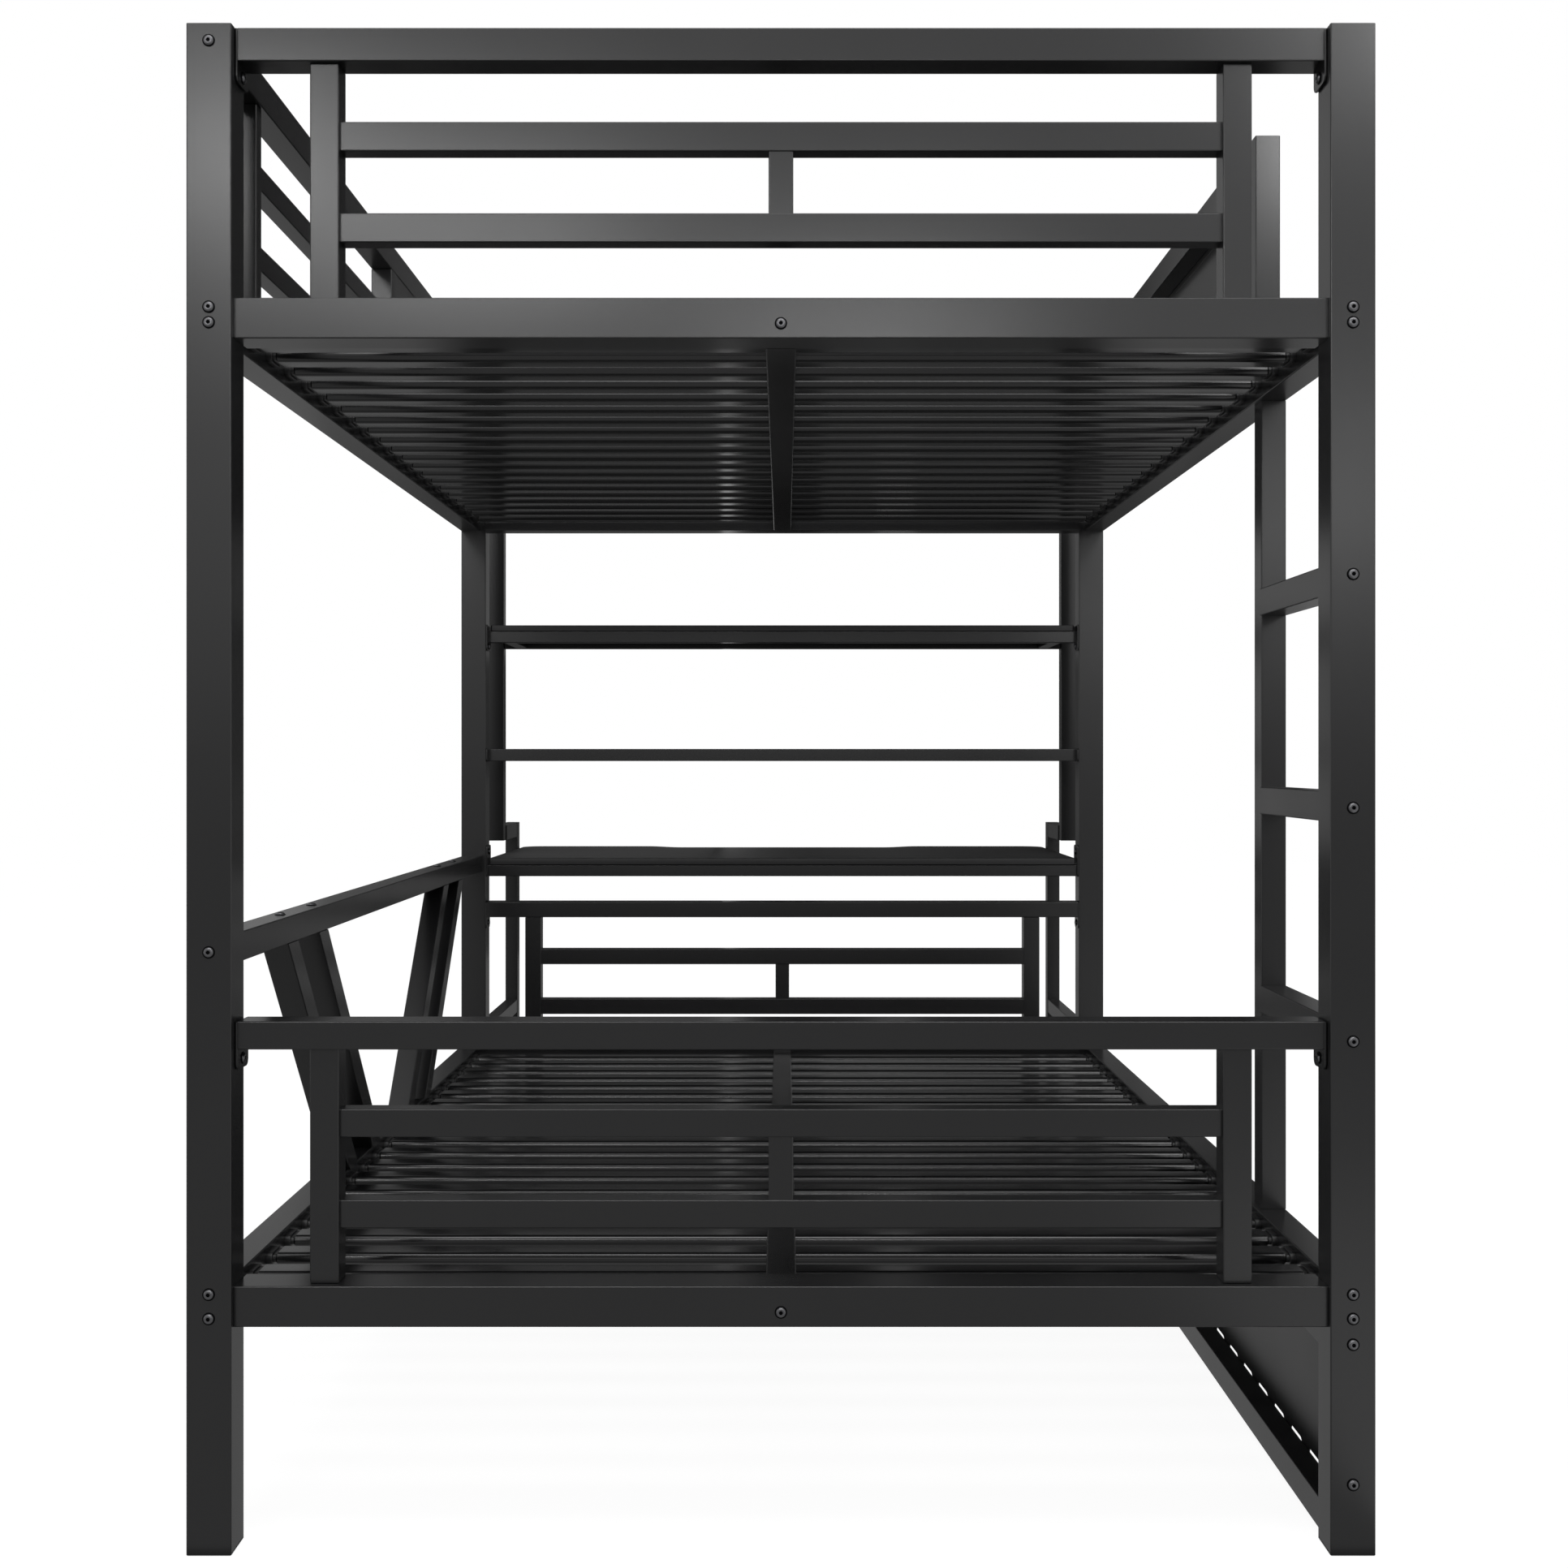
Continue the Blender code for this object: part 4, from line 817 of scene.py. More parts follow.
print("grilles:", len(LEVELS) * len(ENDS))

# %% [markdown]
# A bunk's slats are flat oval tubes. The oval matters: its rounded flank shows as two
# bright lines along each slat, which a square edge would never give. They are welded
# to a centre beam and their free ends sit in moulded sockets on the side rails.

# %% Slats and centre beams
SLAT_COUNT = 20
SLAT_WIDTH = mm(46)
SLAT_THICKNESS = mm(16)
SLAT_RISES = {"upper": mm(12.5), "lower": mm(23)}
SLAT_SINK = mm(3)
SLAT_END = mm(2.5)
SLAT_REACH = mm(657.5)
BEAM_WIDTH = mm(38)
SLAT_END_SPACE = mm(66.9)
BED_INNER = mm(68)
BEAM_COVER = mm(1)
first_slat = NEAR_Y + BED_INNER + SLAT_END_SPACE
last_slat = FAR_Y - BED_INNER - SLAT_END_SPACE
slat_run = last_slat - first_slat
slat_places = [first_slat + slat_run * n / (SLAT_COUNT - 1) for n in range(SLAT_COUNT)]

for level in LEVELS:
    node = f"{level}_slat_deck"
    low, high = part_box(node)
    mesh = bmesh.new()
    half = BEAM_WIDTH / 2
    bottom = low[Z] + SLAT_RISES[level]
    beam_top = max(high[Z], bottom + SLAT_THICKNESS + BEAM_COVER)
    add_open_tube(mesh, box_of((-half, half), (low[Y], high[Y]), (low[Z], beam_top)), Y)
    for y in slat_places:
        y_span = (y - SLAT_WIDTH / 2, y + SLAT_WIDTH / 2)
        for side in SIDES.values():
            x_span = (side * (half - SLAT_SINK), side * SLAT_REACH)
            slat = box_of(x_span, y_span, (bottom, bottom + SLAT_THICKNESS))
            add_bar(mesh, slat, X, SLAT_THICKNESS / 2, SLAT_END)
    steel_piece(f"{node}_welded", mesh, node, coated_slat)
print("slats lie", round((slat_places[1] - slat_places[0]) * 1000, 1), "mm apart")

# %% [markdown]
# Each side rail carries a row of plugs, one for every slat. A plug has a collar of the
# slat's own outline against the rail and a narrower neck that enters the slat. The
# dark neck between the two shows as a short gap before the slat's rounded end.

# %% Side rails with their slat plugs
COLLAR_RIM = mm(0.3)
COLLAR_REACH = mm(7.5)
NECK_CUT = mm(2.4)
NECK_REACH = mm(13)
PLUG_SOFT = mm(0.7)


def add_plug(mesh, side, rail_face, y, z):
    """A collar and a neck at one slat's end."""
    for reach, rim in ((COLLAR_REACH, COLLAR_RIM), (NECK_REACH, -NECK_CUT)):
        half_y = SLAT_WIDTH / 2 + rim
        half_z = SLAT_THICKNESS / 2 + rim
        x_span = (rail_face - side * reach, rail_face + side * WELD_SINK)
        box = box_of(x_span, (y - half_y, y + half_y), (z - half_z, z + half_z))
        add_bar(mesh, box, X, half_z, PLUG_SOFT)


for level in LEVELS:
    slat_middle = BED_HEIGHTS[level] + SLAT_RISES[level] + SLAT_THICKNESS / 2
    for side_name, side in SIDES.items():
        node = f"{level}_{side_name}_side_rail"
        low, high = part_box(node)
        outer = side * POST_OUTER_X
        rail_face = outer - side * SIDE_RAIL_WIDTH
        box = box_of((outer, rail_face), (low[Y], high[Y]), (low[Z], high[Z]))
        open_piece(node, box, Y)
        plugs = bmesh.new()
        for y in slat_places:
            add_plug(plugs, side, rail_face, y, slat_middle)
        make_piece(f"{node}_plugs", plugs, [plastic])
print("plugs:", SLAT_COUNT * len(LEVELS) * len(SIDES))

# %% [markdown]
# The left guard of the upper bunk is a welded grille under a long top rail. The rails
# are broken by an upright in the middle.

# %% Left guard
GUARD_RAIL_WIDTH = mm(24)
GUARD_RAIL_HEIGHT = mm(31)
GUARD_RAIL_RISES = (mm(125.5), mm(229.5))

# Width and depth of the uprights at its ends and in its middle.
GUARD_END_SIZE = (mm(26), mm(25))
GUARD_CENTRE_SIZE = (mm(35), mm(40))

low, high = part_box("left_guard_grille")
middle_x = -POST_CENTRE_X
middle_y = (NEAR_Y + FAR_Y) / 2


def across_guard(width):
    """X span of a piece on the guard's centre line."""
    return middle_x - width / 2, middle_x + width / 2


mesh = bmesh.new()
end_width, end_depth = GUARD_END_SIZE
centre_width, centre_depth = GUARD_CENTRE_SIZE
near_y = (low[Y], low[Y] + end_depth)
far_y = (high[Y] - end_depth, high[Y])
centre_y = (middle_y - centre_depth / 2, middle_y + centre_depth / 2)
for width, y_span in ((end_width, near_y), (end_width, far_y), (centre_width, centre_y)):
    add_bar(mesh, box_of(across_guard(width), y_span, (low[Z], high[Z])), Z)
for rise in GUARD_RAIL_RISES:
    bottom = BED_HEIGHTS["upper"] + rise
    z_span = (bottom, bottom + GUARD_RAIL_HEIGHT)
    for start, stop in ((near_y[1], centre_y[0]), (centre_y[1], far_y[0])):
        y_span = (start - WELD_SINK, stop + WELD_SINK)
        add_bar(mesh, box_of(across_guard(GUARD_RAIL_WIDTH), y_span, z_span), Y)
steel_piece("left_guard_grille_welded", mesh, "left_guard_grille")
print("left guard is", round((high[Y] - low[Y]) * 1000), "mm long")

# %% [markdown]
# The right guard is closed by a sheet instead. Sheet of this kind is folded back on
# itself along its edges, which leaves a slightly thicker hem, so the sheet is drawn as
# a flat panel with a hem round it. Both stay inside the construction model's thickness.

# %% Right guard sheet
HEM_WIDTH = mm(10)
SHEET_THICKNESS = mm(1.5)
PANEL_THICKNESS = mm(1.0)
HEM_STEP = mm(0.25)
HEM_CORNER = mm(0.7)
HEM_SOFT = mm(0.2)
PANEL_INSET = mm(2)
PANEL_CORNER = mm(1)
PANEL_SOFT = mm(0.1)


def hemmed_sheet(mesh, box):
    """A flat panel and the four hems that stand a little proud of it."""
    low, high = box
    x_thin = (high[X] - HEM_STEP, high[X] - HEM_STEP - PANEL_THICKNESS)
    x_hem = (high[X], high[X] - SHEET_THICKNESS)
    thin_y = (low[Y] + PANEL_INSET, high[Y] - PANEL_INSET)
    thin_z = (low[Z] + PANEL_INSET, high[Z] - PANEL_INSET)
    add_bar(mesh, box_of(x_thin, thin_y, thin_z), X, PANEL_CORNER, PANEL_SOFT)
    for z_span in ((low[Z], low[Z] + HEM_WIDTH), (high[Z] - HEM_WIDTH, high[Z])):
        add_bar(mesh, box_of(x_hem, (low[Y], high[Y]), z_span), Y, HEM_CORNER, HEM_SOFT)
    for y_span in ((low[Y], low[Y] + HEM_WIDTH), (high[Y] - HEM_WIDTH, high[Y])):
        add_bar(mesh, box_of(x_hem, y_span, (low[Z], high[Z])), Z, HEM_CORNER, HEM_SOFT)


mesh = bmesh.new()
hemmed_sheet(mesh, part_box("right_guard_sheet"))
steel_piece("right_guard_sheet_hemmed", mesh, "right_guard_sheet", coated_sheet)
print("guard sheet is", SHEET_THICKNESS * 1000, "mm thick at its hems")

# %% [markdown]
# The brace on the left is a rail on four struts that lean in from both ends. A strut's
# ends are sawn level, so it is a tube whose section slides sideways as it rises. Four
# bolts through the rail hold the struts' tops.

# %% Brace struts and their bolts
STRUT_TOP_SHARES = (0.162, 0.248)
depth = FAR_Y - NEAR_Y
near_tops = [NEAR_Y + depth * share for share in STRUT_TOP_SHARES]
strut_tops = near_tops + [NEAR_Y + FAR_Y - y for y in reversed(near_tops)]
STRUT_ANGLE = math.radians(44)
STRUT_WIDTH = mm(39.5)
strut_half = STRUT_WIDTH / math.cos(STRUT_ANGLE) / 2

for number, top_y in enumerate(strut_tops, 1):
    node = f"brace_strut_{number}"
    low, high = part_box(node)
    inward = 1 if top_y < middle_y else -1
    shift = (high[Z] - low[Z]) * math.tan(STRUT_ANGLE)
    foot_y = top_y + inward * shift
    y_span = (foot_y - strut_half, foot_y + strut_half)
    box = box_of((brace_box[0][X], brace_box[1][X]), y_span, (low[Z], high[Z]))
    mesh = bmesh.new()
    add_open_tube(mesh, box, Z, lean=-inward * shift)
    steel_piece(f"{node}_tube", mesh, node)

brace_top = brace_box[1][Z]
bolt_piece("brace_bolts", [(Vector((middle_x, y, brace_top)), UPWARD) for y in strut_tops])
print("strut tops at", [round(y, 3) for y in strut_tops])

# %% [markdown]
# Low on the right side a slotted sheet stands in front of two rails. The slots are
# punched along its lower edge with round upper corners. The whole outline is drawn
# once and given the sheet's thickness, so every slot is a real opening.

# %% Slotted sheet under the lower bunk
SLOT_COUNT = 21
SLOT_LENGTH = mm(56)
SLOT_END_SPACE = mm(53)
SLOT_TOP = mm(49.5)
SLOT_CORNER = mm(8)
TAB_THICKNESS = mm(3)
TAB_HALF_HEIGHT = mm(23)
TAB_CORNER = mm(4)
TAB_SOFT = mm(0.4)
SHEET_END_GAP = mm(1)

low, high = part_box("under_bed_sheet")
sheet_y = (low[Y] + SHEET_END_GAP, high[Y] - SHEET_END_GAP)
first_slot = NEAR_Y + POST_WIDTH + SLOT_END_SPACE
last_slot = FAR_Y - POST_WIDTH - SLOT_END_SPACE
outline = [(sheet_y[0], low[Z])]
for n in range(SLOT_COUNT):
    centre = first_slot + (last_slot - first_slot) * n / (SLOT_COUNT - 1)
    left, right = centre - SLOT_LENGTH / 2, centre + SLOT_LENGTH / 2
    arch = rounded_corners((left, right), (low[Z], SLOT_TOP), SLOT_CORNER, (0, 1))
    outline += [(left, low[Z])] + arch[::-1] + [(right, low[Z])]
outline += [(sheet_y[1], low[Z]), (sheet_y[1], high[Z]), (sheet_y[0], high[Z])]

mesh = bmesh.new()
rings = []
for x in (high[X] - SHEET_THICKNESS, high[X]):
    rings.append([mesh.verts.new((x, y, z)) for y, z in outline])
skin_all(mesh, rings)
for y_span in ((low[Y], low[Y] + TAB_THICKNESS), (high[Y] - TAB_THICKNESS, high[Y])):
    z_span = (TAB_BOLT - TAB_HALF_HEIGHT, TAB_BOLT + TAB_HALF_HEIGHT)
    x_span = (low[X], high[X] - SHEET_THICKNESS + WELD_SINK)
    add_bar(mesh, box_of(x_span, y_span, z_span), Y, TAB_CORNER, TAB_SOFT)
steel_piece("under_bed_sheet_punched", mesh, "under_bed_sheet", coated_sheet)
print("slots in the sheet:", SLOT_COUNT)

# %% [markdown]
# A board's faces take the laminate and its narrow sides the edge band. The band's
# corner is scraped at the factory, which the small softened edge stands for. The
# outline is drawn in along its own normals there, because it needn't be a rectangle.

# %% Boards
BOARD_SOFT = mm(1.2)


def add_board(mesh, outline, z_span, soft=BOARD_SOFT):
    """A board whose narrow sides and softened edges take the second material."""
    bottom, top = z_span
    rings = []
    count = len(outline)
    for z, inset in ((bottom, soft), (bottom + soft, 0.0), (top - soft, 0.0), (top, soft)):
        ring = []
        for index, (x, y) in enumerate(outline):
            before, after = outline[index - 1], outline[(index + 1) % count]
            along = Vector((after[0] - before[0], after[1] - before[1])).normalized()
            ring.append(mesh.verts.new((x - along.y * inset, y + along.x * inset, z)))
        rings.append(ring)
    skin_all(mesh, rings)
    for found in mesh.faces:
        found.material_index = 0 if len(found.verts) > 4 else 1


print("a board's edge is scraped by", BOARD_SOFT * 1000, "mm")

# %% [markdown]
# The desk top has rounded corners and a shallow wave cut in its back edge for cables.
# A cosine draws the wave, since it starts and ends level with the edge.

# %% Desk top
DESK_CORNER = mm(50)
FRONT_CORNER = mm(3)
RECESS_HALF_WIDTH = mm(250)
RECESS_RUN = mm(90)
RECESS_DEPTH = mm(62)
RECESS_STEPS = 16


def recess_side(back):
    """The smooth right side of the recess, from the back edge to its full depth."""
    points = []
    for step in range(RECESS_STEPS + 1):
        share = step / RECESS_STEPS
        ease = (1.0 - math.cos(math.pi * share)) / 2
        x = RECESS_HALF_WIDTH + RECESS_RUN * (1.0 - share)
        points.append((x, back - RECESS_DEPTH * ease))
    return points


low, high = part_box("desk_top")
x_span, y_span = (low[X], high[X]), (low[Y], high[Y])
right_side = recess_side(high[Y])
outline = rounded_corners(x_span, y_span, FRONT_CORNER, (2, 3), steps=3)
outline += rounded_corners(x_span, y_span, DESK_CORNER, (0,), steps=12)
outline += right_side + [(-x, y) for x, y in reversed(right_side)]
outline += rounded_corners(x_span, y_span, DESK_CORNER, (1,), steps=12)
mesh = bmesh.new()
add_board(mesh, outline, (low[Z], high[Z]))
make_piece("desk_top_board", mesh, [laminate, edge_band], ["desk_top"])
print("desk top is", round((high[Y] - low[Y]) * 1000), "mm deep")

# %% [markdown]
# The two shelves are the same kind of board, with small round corners and an edge that
# is scraped a little less.

# %% Shelf boards
SHELF_SOFT = mm(0.8)
for node in ("upper_shelf_board", "lower_shelf_board"):
    low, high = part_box(node)
    x_span, y_span = (low[X], high[X]), (low[Y], high[Y])
    outline = rounded_corners(x_span, y_span, FRONT_CORNER, (2, 3, 0, 1), steps=3)
    mesh = bmesh.new()
    add_board(mesh, outline, (low[Z], high[Z]), SHELF_SOFT)
    make_piece(f"{node}_banded", mesh, [laminate, edge_band], [node])
print("a shelf's edge is scraped by", SHELF_SOFT * 1000, "mm")

# %% [markdown]
# Under the desk a front rail hangs on two brackets on the far posts. A bracket is a
# plate like the end plates above, but it reaches over the rail, where it carries its
# bolt, so all four of its corners are free and round.

# %% Desk front rail and brackets
DESK_RAIL_SIZE = mm(25)
DESK_RAIL_SETBACK = mm(10)
BRACKET_BOLT_DROP = mm(14)
BRACKET_CORNER = mm(6)

low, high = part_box("desk_front_rail")
mesh = bmesh.new()
rail_front, rail_bottom = FAR_Y - POST_WIDTH + DESK_RAIL_SETBACK, low[Z] + TOP_RAIL_MARGIN
rail_y = (rail_front, rail_front + DESK_RAIL_SIZE)
rail_z = (rail_bottom, rail_bottom + DESK_RAIL_SIZE)
add_bar(mesh, box_of((-WELDED_REACH, WELDED_REACH), rail_y, rail_z), X)
add_plates(mesh, rounded_corners((low[Y], high[Y]), (low[Z], high[Z]), BRACKET_CORNER))
steel_piece("desk_front_rail_welded", mesh, "desk_front_rail")
plate_bolts("desk_front_rail_bolts", (low[Y] + high[Y]) / 2, high[Z] - BRACKET_BOLT_DROP)

# %% [markdown]
# On each side a leg, a tube under the board and a low rail are welded into one frame.
# The leg is closed by a cap. The two rails end in it, and are drawn as closed bars.

# %% Desk side frames
LEG_DEPTH = mm(36)
SIDE_TUBE_HEIGHT = mm(35)
WELD_STEP = mm(1)
LOW_RAIL = (mm(330), mm(362))

for side_name, side in SIDES.items():
    node = f"desk_{side_name}_side_frame"
    low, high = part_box(node)
    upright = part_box(f"shelf_{side_name}_lower_upright")
    mesh = bmesh.new()
    leg = box_of((low[X], high[X]), (high[Y] - LEG_DEPTH, high[Y]), (low[Z], high[Z]))
    add_capped_tube(mesh, leg, Z)
    tube_x = (low[X] + WELD_STEP, high[X] - WELD_STEP)
    weld_y = high[Y] - LEG_DEPTH + WELD_SINK
    top = high[Z] - WELD_STEP
    side_tube = box_of(tube_x, (upright[1][Y] + TOUCH_GAP, weld_y), (top - SIDE_TUBE_HEIGHT, top))
    add_bar(mesh, side_tube, Y)
    add_bar(mesh, box_of(tube_x, (low[Y], weld_y), LOW_RAIL), Y)
    steel_piece(f"{node}_welded", mesh, node)
    foot_piece(f"desk_{side_name}_foot")
print("desk legs stand", round((high[Y] - FAR_Y) * 1000), "mm past the posts")

# %% [markdown]
# The shelf uprights come in two lengths, because a single tube would be too long for
# the carton. The lower one is necked down into a spigot and the upper one slides over
# it, which leaves a fine joint line.

# %% Shelf uprights
SPIGOT_LENGTH = mm(40)
SHOULDER_SOFT = mm(0.4)
UPRIGHT_X = (mm(653.5), mm(690))


def upright_box(node, side):
    """A shelf upright's box, with the width that the photograph shows."""
    low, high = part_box(node)
    return box_of([side * x for x in UPRIGHT_X], (low[Y], high[Y]), (low[Z], high[Z]))


for side_name, side in SIDES.items():
    node = f"shelf_{side_name}_lower_upright"
    box = upright_box(node, side)
    shoulder = box[1][Z] - SPIGOT_LENGTH
    neck = TUBE_WALL + TOUCH_GAP
    stations = (
        (box[0][Z], SOFT_EDGE),
        (box[0][Z] + SOFT_EDGE, 0.0),
        (shoulder - SHOULDER_SOFT, 0.0),
        (shoulder, SHOULDER_SOFT),
        (shoulder, neck),
        (box[1][Z], neck),
        (box[1][Z], neck + TUBE_WALL),
        (shoulder, neck + TUBE_WALL),
    )
    mesh = bmesh.new()
    skin_all(mesh, rings_along(mesh, box, Z, stations))
    steel_piece(f"{node}_tube", mesh, node)
    node = f"shelf_{side_name}_upper_upright"
    mesh = bmesh.new()
    add_capped_tube(mesh, upright_box(node, side), Z)
    steel_piece(f"{node}_tube", mesh, node)
print("the joint is at", round(shoulder, 3), "m")

# %% [markdown]
# Each shelf rests on a welded frame of small tube. The front tube is bolted between
# the far posts on end plates and the rear tube fits between the uprights. The upper
# board lies on its frame, and the lower one inside it.

# %% Shelf frames
SHELF_TUBE_DEPTH = mm(25)
SHELF_SIDE_INSET = mm(24)
SHELF_BOLT_DROP = mm(9)
SHELF_SETBACK = mm(27)
SHELF_PLATE_INSET = mm(1)
SHELF_FRONT = FAR_Y - POST_WIDTH + SHELF_SETBACK
DESK_HALF_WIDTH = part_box("desk_top")[1][X]

# Height of the front and rear tubes, and of the side tubes.
SHELF_TUBES = {"upper": (mm(25.4), mm(25.4)), "lower": (mm(27), mm(13.7))}

for level in LEVELS:
    node = f"{level}_shelf_frame"
    low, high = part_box(node)
    board_low, board_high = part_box(f"{level}_shelf_board")
    height, side_height = SHELF_TUBES[level]
    bottom = board_low[Z] - TOUCH_GAP - height if level == "upper" else board_high[Z] - height
    front_y = (SHELF_FRONT, SHELF_FRONT + SHELF_TUBE_DEPTH)
    rear_y = (high[Y] - SHELF_TUBE_DEPTH, high[Y])
    mesh = bmesh.new()
    for reach, y_span in ((WELDED_REACH, front_y), (UPRIGHT_X[0] - TOUCH_GAP, rear_y)):
        add_bar(mesh, box_of((-reach, reach), y_span, (bottom, bottom + height)), X)
    outer = DESK_HALF_WIDTH - SHELF_SIDE_INSET
    side_y = (front_y[1] - WELD_SINK, rear_y[0] + WELD_SINK)
    side_z = (bottom + WELD_STEP, bottom + side_height - WELD_STEP)
    for side in SIDES.values():
        x_span = (side * (outer - SHELF_TUBE_DEPTH), side * outer)
        add_bar(mesh, box_of(x_span, side_y, side_z), Y)
    plate_y = (FAR_Y - POST_WIDTH + SHELF_PLATE_INSET, FAR_Y - SHELF_PLATE_INSET)
    add_plates(mesh, rounded_corners(plate_y, (low[Z], high[Z]), BRACKET_CORNER))
    steel_piece(f"{node}_welded", mesh, node)
    if level == "upper":
        plate_bolts(f"{node}_bolts", sum(plate_y) / 2, bottom - SHELF_BOLT_DROP)
print("pieces so far:", len(made_pieces))

# %% [markdown]
# The photograph was taken square-on at the near end, with the lens a little above the
# middle of the bed. Its vertical lines stay vertical, so the camera is level, and the
# small shift of the picture is done with the lens, as with a view camera.

# %% Camera
PHOTO_WIDTH = 1932
PIXELS_PER_MM = 1.0324
CAMERA_DISTANCE = mm(2297)
CAMERA_PLACE = (mm(3.7), NEAR_Y - CAMERA_DISTANCE, mm(950.9))
HORIZON_ROW = 935.6
SENSOR = 36.0

camera_data = bpy.data.cameras.new("view_camera")
camera_data.sensor_width = SENSOR
camera_data.lens = SENSOR * CAMERA_DISTANCE * 1000 * PIXELS_PER_MM / PHOTO_WIDTH
camera_data.shift_y = (HORIZON_ROW - PHOTO_WIDTH / 2) / PHOTO_WIDTH
camera = bpy.data.objects.new("view_camera", camera_data)
camera.location = CAMERA_PLACE
camera.rotation_euler = (math.radians(90), 0.0, 0.0)
bpy.context.scene.collection.objects.link(camera)
bpy.context.scene.camera = camera
print("focal length:", round(camera_data.lens, 2), "mm")

# %% [markdown]
# The stage is a white studio. Its floor and its world show white to the eye and in
# mirrored and clear surfaces, but add little light to the bed. The Light Path node
# tells what a ray is for, so one helper makes that switch for both.

# %% White for the eye only
WHITE = "#ffffff"


def seen_directly(tree):
    """1 for what the eye sees straight, mirrored or through glass, and 0 for stray light."""
    path = add_node(tree, "ShaderNodeLightPath")
    mirrored = add_node(tree, "ShaderNodeMath", {"operation": "MAXIMUM"},
                        {0: path.outputs["Is Camera Ray"], 1: path.outputs["Is Glossy Ray"]})
    either = add_node(tree, "ShaderNodeMath", {"operation": "MAXIMUM"},
                      {0: mirrored.outputs[0], 1: path.outputs["Is Transmission Ray"]})
    return either.outputs[0]


print("white in linear light:", linear(WHITE)[0])

# %% [markdown]
# The floor is painted grey under its white glow. The glow shows no shadow, but the
# paint does, and so the bed still stands on the floor. It is a flat panel.

# %% Floor
FLOOR_HALF = 14.0
FLOOR_GLOW = 0.93
FLOOR_DROP = mm(0.5)
FLOOR_PAINT = "#7c7c7c"


def floor_material():
    """A floor that shows white and still takes a faint shadow where the bed stands."""
    material = bpy.data.materials.new("studio_floor_paint")
    material.use_nodes = True
    tree = material.node_tree
    tree.nodes.remove(tree.nodes["Principled BSDF"])
    glow = add_node(tree, "ShaderNodeMath", {"operation": "MULTIPLY", 1: FLOOR_GLOW},
                    {0: seen_directly(tree)})
    paint = add_node(tree, "ShaderNodeBsdfDiffuse", {"Color": linear(FLOOR_PAINT)})
    light = add_node(tree, "ShaderNodeEmission", {"Color": linear(WHITE)},
                     {"Strength": glow.outputs[0]})
    both = add_node(tree, "ShaderNodeAddShader", links={0: paint.outputs[0], 1: light.outputs[0]})
    tree.links.new(both.outputs[0], tree.nodes["Material Output"].inputs["Surface"])
    return material


def panel(name, centre, across, up, material):
    """A flat stage panel from its centre and its two half extents."""
    mesh = bmesh.new()
    centre, across, up = Vector(centre), Vector(across), Vector(up)
    corners = (-across - up, across - up, across + up, -across + up)
    mesh.faces.new([mesh.verts.new(centre + corner) for corner in corners])
    data = bpy.data.meshes.new(name)
    mesh.to_mesh(data)
    mesh.free()
    data.materials.append(material)
    thing = bpy.data.objects.new(name, data)
    bpy.context.scene.collection.objects.link(thing)
    return thing


panel("studio_floor", (0, 0, -FLOOR_DROP), (FLOOR_HALF, 0, 0), (0, FLOOR_HALF, 0), floor_material())
print("the floor is", FLOOR_HALF * 2, "m wide")

# %% [markdown]
# The world shines at full strength for what is seen, and at about a third for the
# stray light that reaches the bed, which keeps the coat black.

# %% World
WORLD_LIGHT = 0.35
world = bpy.data.worlds.new("white_studio")
bpy.context.scene.world = world
world.use_nodes = True
tree = world.node_tree
strength = add_node(tree, "ShaderNodeMapRange", {"To Min": WORLD_LIGHT, "To Max": 1.0},
                    {"Value": seen_directly(tree)})
background = tree.nodes["Background"]
background.inputs["Color"].default_value = linear(WHITE)
tree.links.new(strength.outputs["Result"], background.inputs["Strength"])
print("world lights the bed at", WORLD_LIGHT)

# %% [markdown]
# Black satin shows its surroundings more than its own colour. A photographer therefore
# stands grey and black cards, called flags, around such an object, so that its side
# faces and undersides stay dark between the lights. They are seen only in the coat's
# sheen. The camera, the shadows and the stray light pass them by.

# %% A flag


def flag(name, centre, across, up, shade):
    """A card of one shade that shows only in reflections."""
    material = bpy.data.materials.new(f"{name}_cloth")
    material.use_nodes = True
    tree = material.node_tree
    tree.nodes.remove(tree.nodes["Principled BSDF"])
    cloth = add_node(tree, "ShaderNodeEmission", {"Color": linear(shade)})
    tree.links.new(cloth.outputs[0], tree.nodes["Material Output"].inputs["Surface"])
    card = panel(name, centre, across, up, material)
    for ray in ("camera", "diffuse", "transmission", "volume_scatter", "shadow"):
        setattr(card, f"visible_{ray}", False)
    return card


GREY, LIGHT_GREY, BLACK = "#898989", "#bcbcbc", "#1a1a1a"
print("black cloth in linear light:", round(linear(BLACK)[0], 4))

# %% [markdown]
# Most flags hang behind the bed, where the inner faces of posts and rails mirror them,
# in bands as high as the bands of grey in the photograph. Two hang back to back and
# edge-on behind the desk: the light one shows in the ladder, and the black one keeps it
# out of the left guard. A strip beside the near left post shades the guard's first
# upright. The rest lie on the floor, hang overhead and close off the front.

# %% Flags
BACK_Y = 2.6
FLAG_RISE = mm(0.2)
FLOOR_GREY = "#c4c4c4"
LADDER_CARD_PALE = "#dadada"

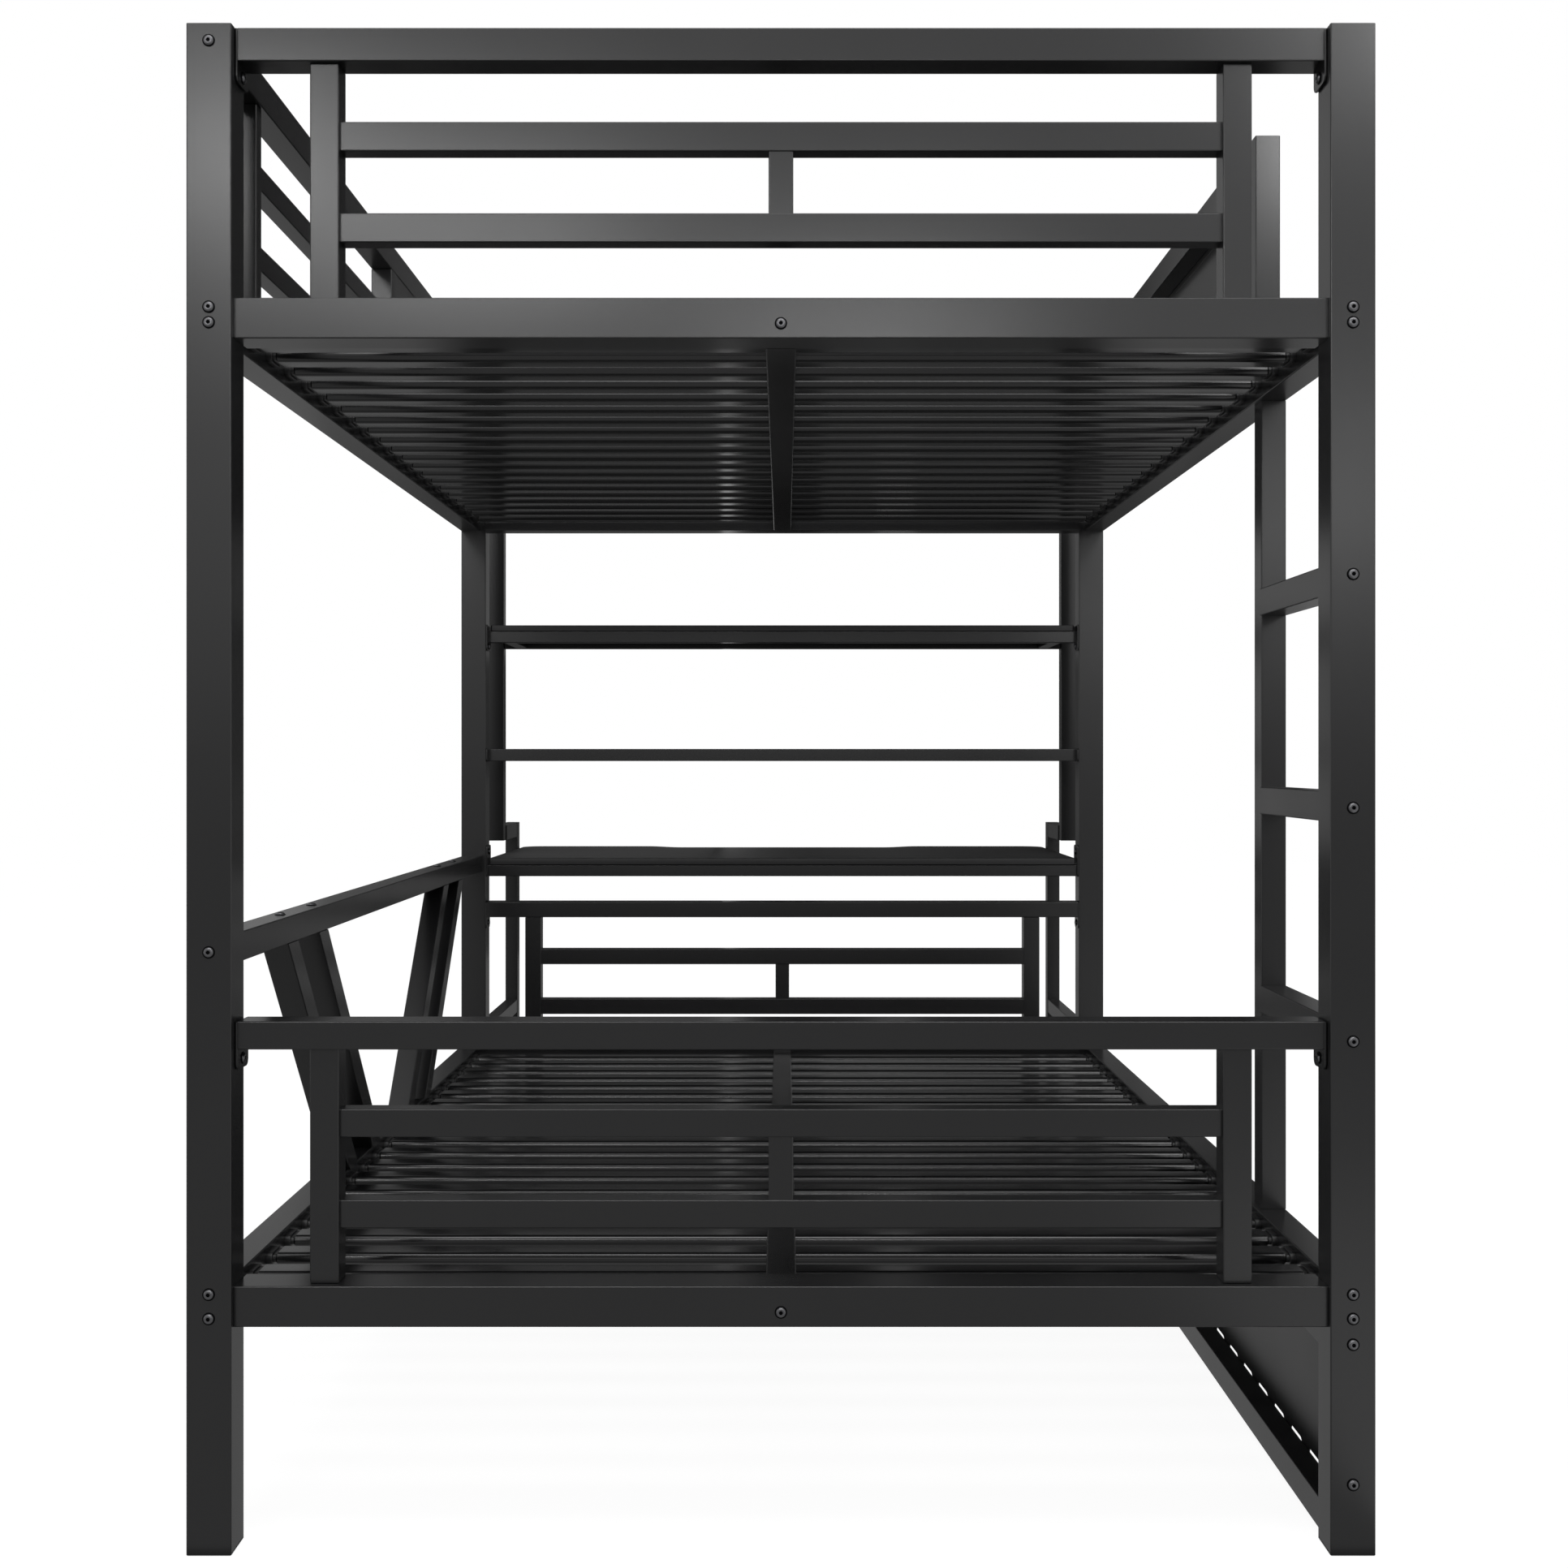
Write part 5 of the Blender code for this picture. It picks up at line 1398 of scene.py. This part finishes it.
# Name: span in X, span in Z, shade, and how far behind BACK_Y it hangs.
BACK_CARDS = {
    "back_curtain": ((-3.4, 3.4), (0.0, 6.0), GREY, mm(150)),
    "back_right_flag": ((-0.15, 1.7), (0.85, 6.0), BLACK, mm(100)),
    "back_left_card": ((-3.4, -1.52), (1.0, 2.2), "#a6a6a6", mm(50)),
    "back_middle_card": ((-1.5, 1.3), (0.9, 1.28), "#484848", 0.0),
    "back_low_card": ((-1.15, 1.15), (0.6, 0.9), "#5a5a5a", 0.0),
    "back_low_flag": ((-1.1, -0.2), (0.32, 0.6), BLACK, 0.0),
    "back_floor_card": ((-0.6, 0.6), (0.0, 0.3), "#7c7c7c", 0.0),
    "back_beam_flag": ((-0.12, 0.12), (0.6, 1.28), BLACK, -mm(50)),
    "back_thin_card": ((0.3, 0.42), (1.28, 1.75), LIGHT_GREY, 0.0),
}

# Name: centre, half extent across, half extent up, shade.
OTHER_CARDS = {
    "ladder_card": ((-0.16, 2.06, 1.93), (0, 0.53, 0), (0, 0, 1.27), LADDER_CARD_PALE),
    "ladder_card_back": ((-0.17, 2.06, 1.93), (0, 0.53, 0), (0, 0, 1.27), BLACK),
    "post_flag": ((-0.736, NEAR_Y + 0.08, 1.64), (0.025, 0, 0), (0, 0, 0.2), BLACK),
    "roof_flag": ((0, 1.3, 5.0), (3.2, 0, 0), (0, 1.9, 0), BLACK),
    "floor_flag": ((0, 1.4, FLAG_RISE), (3.4, 0, 0), (0, 2.7, 0), "#949494"),
    "front_near_flag": ((-1.325, NEAR_Y - 0.96, FLAG_RISE), (2.075, 0, 0), (0, 0.94, 0), FLOOR_GREY),
    "front_far_flag": ((0, NEAR_Y - 2.54, FLAG_RISE), (3.4, 0, 0), (0, 0.64, 0), FLOOR_GREY),
    "front_curtain": ((0, NEAR_Y - 3.3, 0.6), (4.0, 0, 0), (0, 0, 0.6), "#bababa"),
}

for name, (x_span, z_span, shade, behind) in BACK_CARDS.items():
    centre = (sum(x_span) / 2, BACK_Y + behind, sum(z_span) / 2)
    half_width, half_height = (x_span[1] - x_span[0]) / 2, (z_span[1] - z_span[0]) / 2
    flag(name, centre, (half_width, 0, 0), (0, 0, half_height), shade)
for name, (centre, across, up, shade) in OTHER_CARDS.items():
    flag(name, centre, across, up, shade)
print("flags:", len(BACK_CARDS) + len(OTHER_CARDS))

# %% [markdown]
# A black satin object is lit by what it mirrors, so the soft boxes matter for where
# they stand more than for how strong they are. Two at the front left give the bright
# upper left posts and end rails, one in the middle carries that across the rails, and
# two weaker ones at the front right keep that side from going flat. A small one close
# to the right guard lights its upright. The large one overhead draws the bright lines
# along the tops of the slats and rails.

# %% Soft boxes


def soft_box(name, place, target, size, power):
    """A rectangular area lamp that faces a target."""
    data = bpy.data.lights.new(name, "AREA")
    data.shape = "RECTANGLE"
    data.size, data.size_y = size
    data.energy = power
    lamp = bpy.data.objects.new(name, data)
    lamp.location = place
    aim = Vector(target) - Vector(place)
    lamp.rotation_euler = aim.to_track_quat("-Z", "Y").to_euler()
    bpy.context.scene.collection.objects.link(lamp)
    return lamp


# Name: place, the point it faces, width and height in metres, watts.
SOFT_BOXES = {
    "front_left_box": ((-1.5, NEAR_Y - 3.0, 2.61), (-0.65, NEAR_Y, 1.65), (0.6, 0.2), 7.7),
    "front_lower_left_box": ((-0.8, NEAR_Y - 3.0, 2.38), (-0.35, NEAR_Y, 1.55), (0.7, 0.2), 6),
    "front_right_box": ((1.64, NEAR_Y - 3.0, 3.05), (0.7, NEAR_Y, 1.75), (0.4, 0.35), 3.6),
    "front_middle_box": ((0.22, NEAR_Y - 3.0, 2.1), (0.1, NEAR_Y, 1.48), (0.8, 0.12), 5.5),
    "front_side_box": ((1.57, NEAR_Y - 3.0, 1.7), (0.68, NEAR_Y, 1.28), (0.3, 0.35), 2),
    "guard_box": ((1.06, NEAR_Y - 0.5, 2.16), (0.68, NEAR_Y + 0.385, 1.78), (0.29, 0.31), 2.2),
    "top_box": ((0.0, NEAR_Y - 1.1, 4.0), (0.0, -0.6, 0.3), (3.0, 1.1), 52),
}

for name, (place, target, size, power) in SOFT_BOXES.items():
    soft_box(name, place, target, size, power)
print("soft boxes:", len(SOFT_BOXES))

# %% [markdown]
# At the end the picture's colours are left as they are lit.

# %% Finish
bpy.context.scene.view_settings.view_transform = "Standard"
print("pieces:", len(made_pieces))
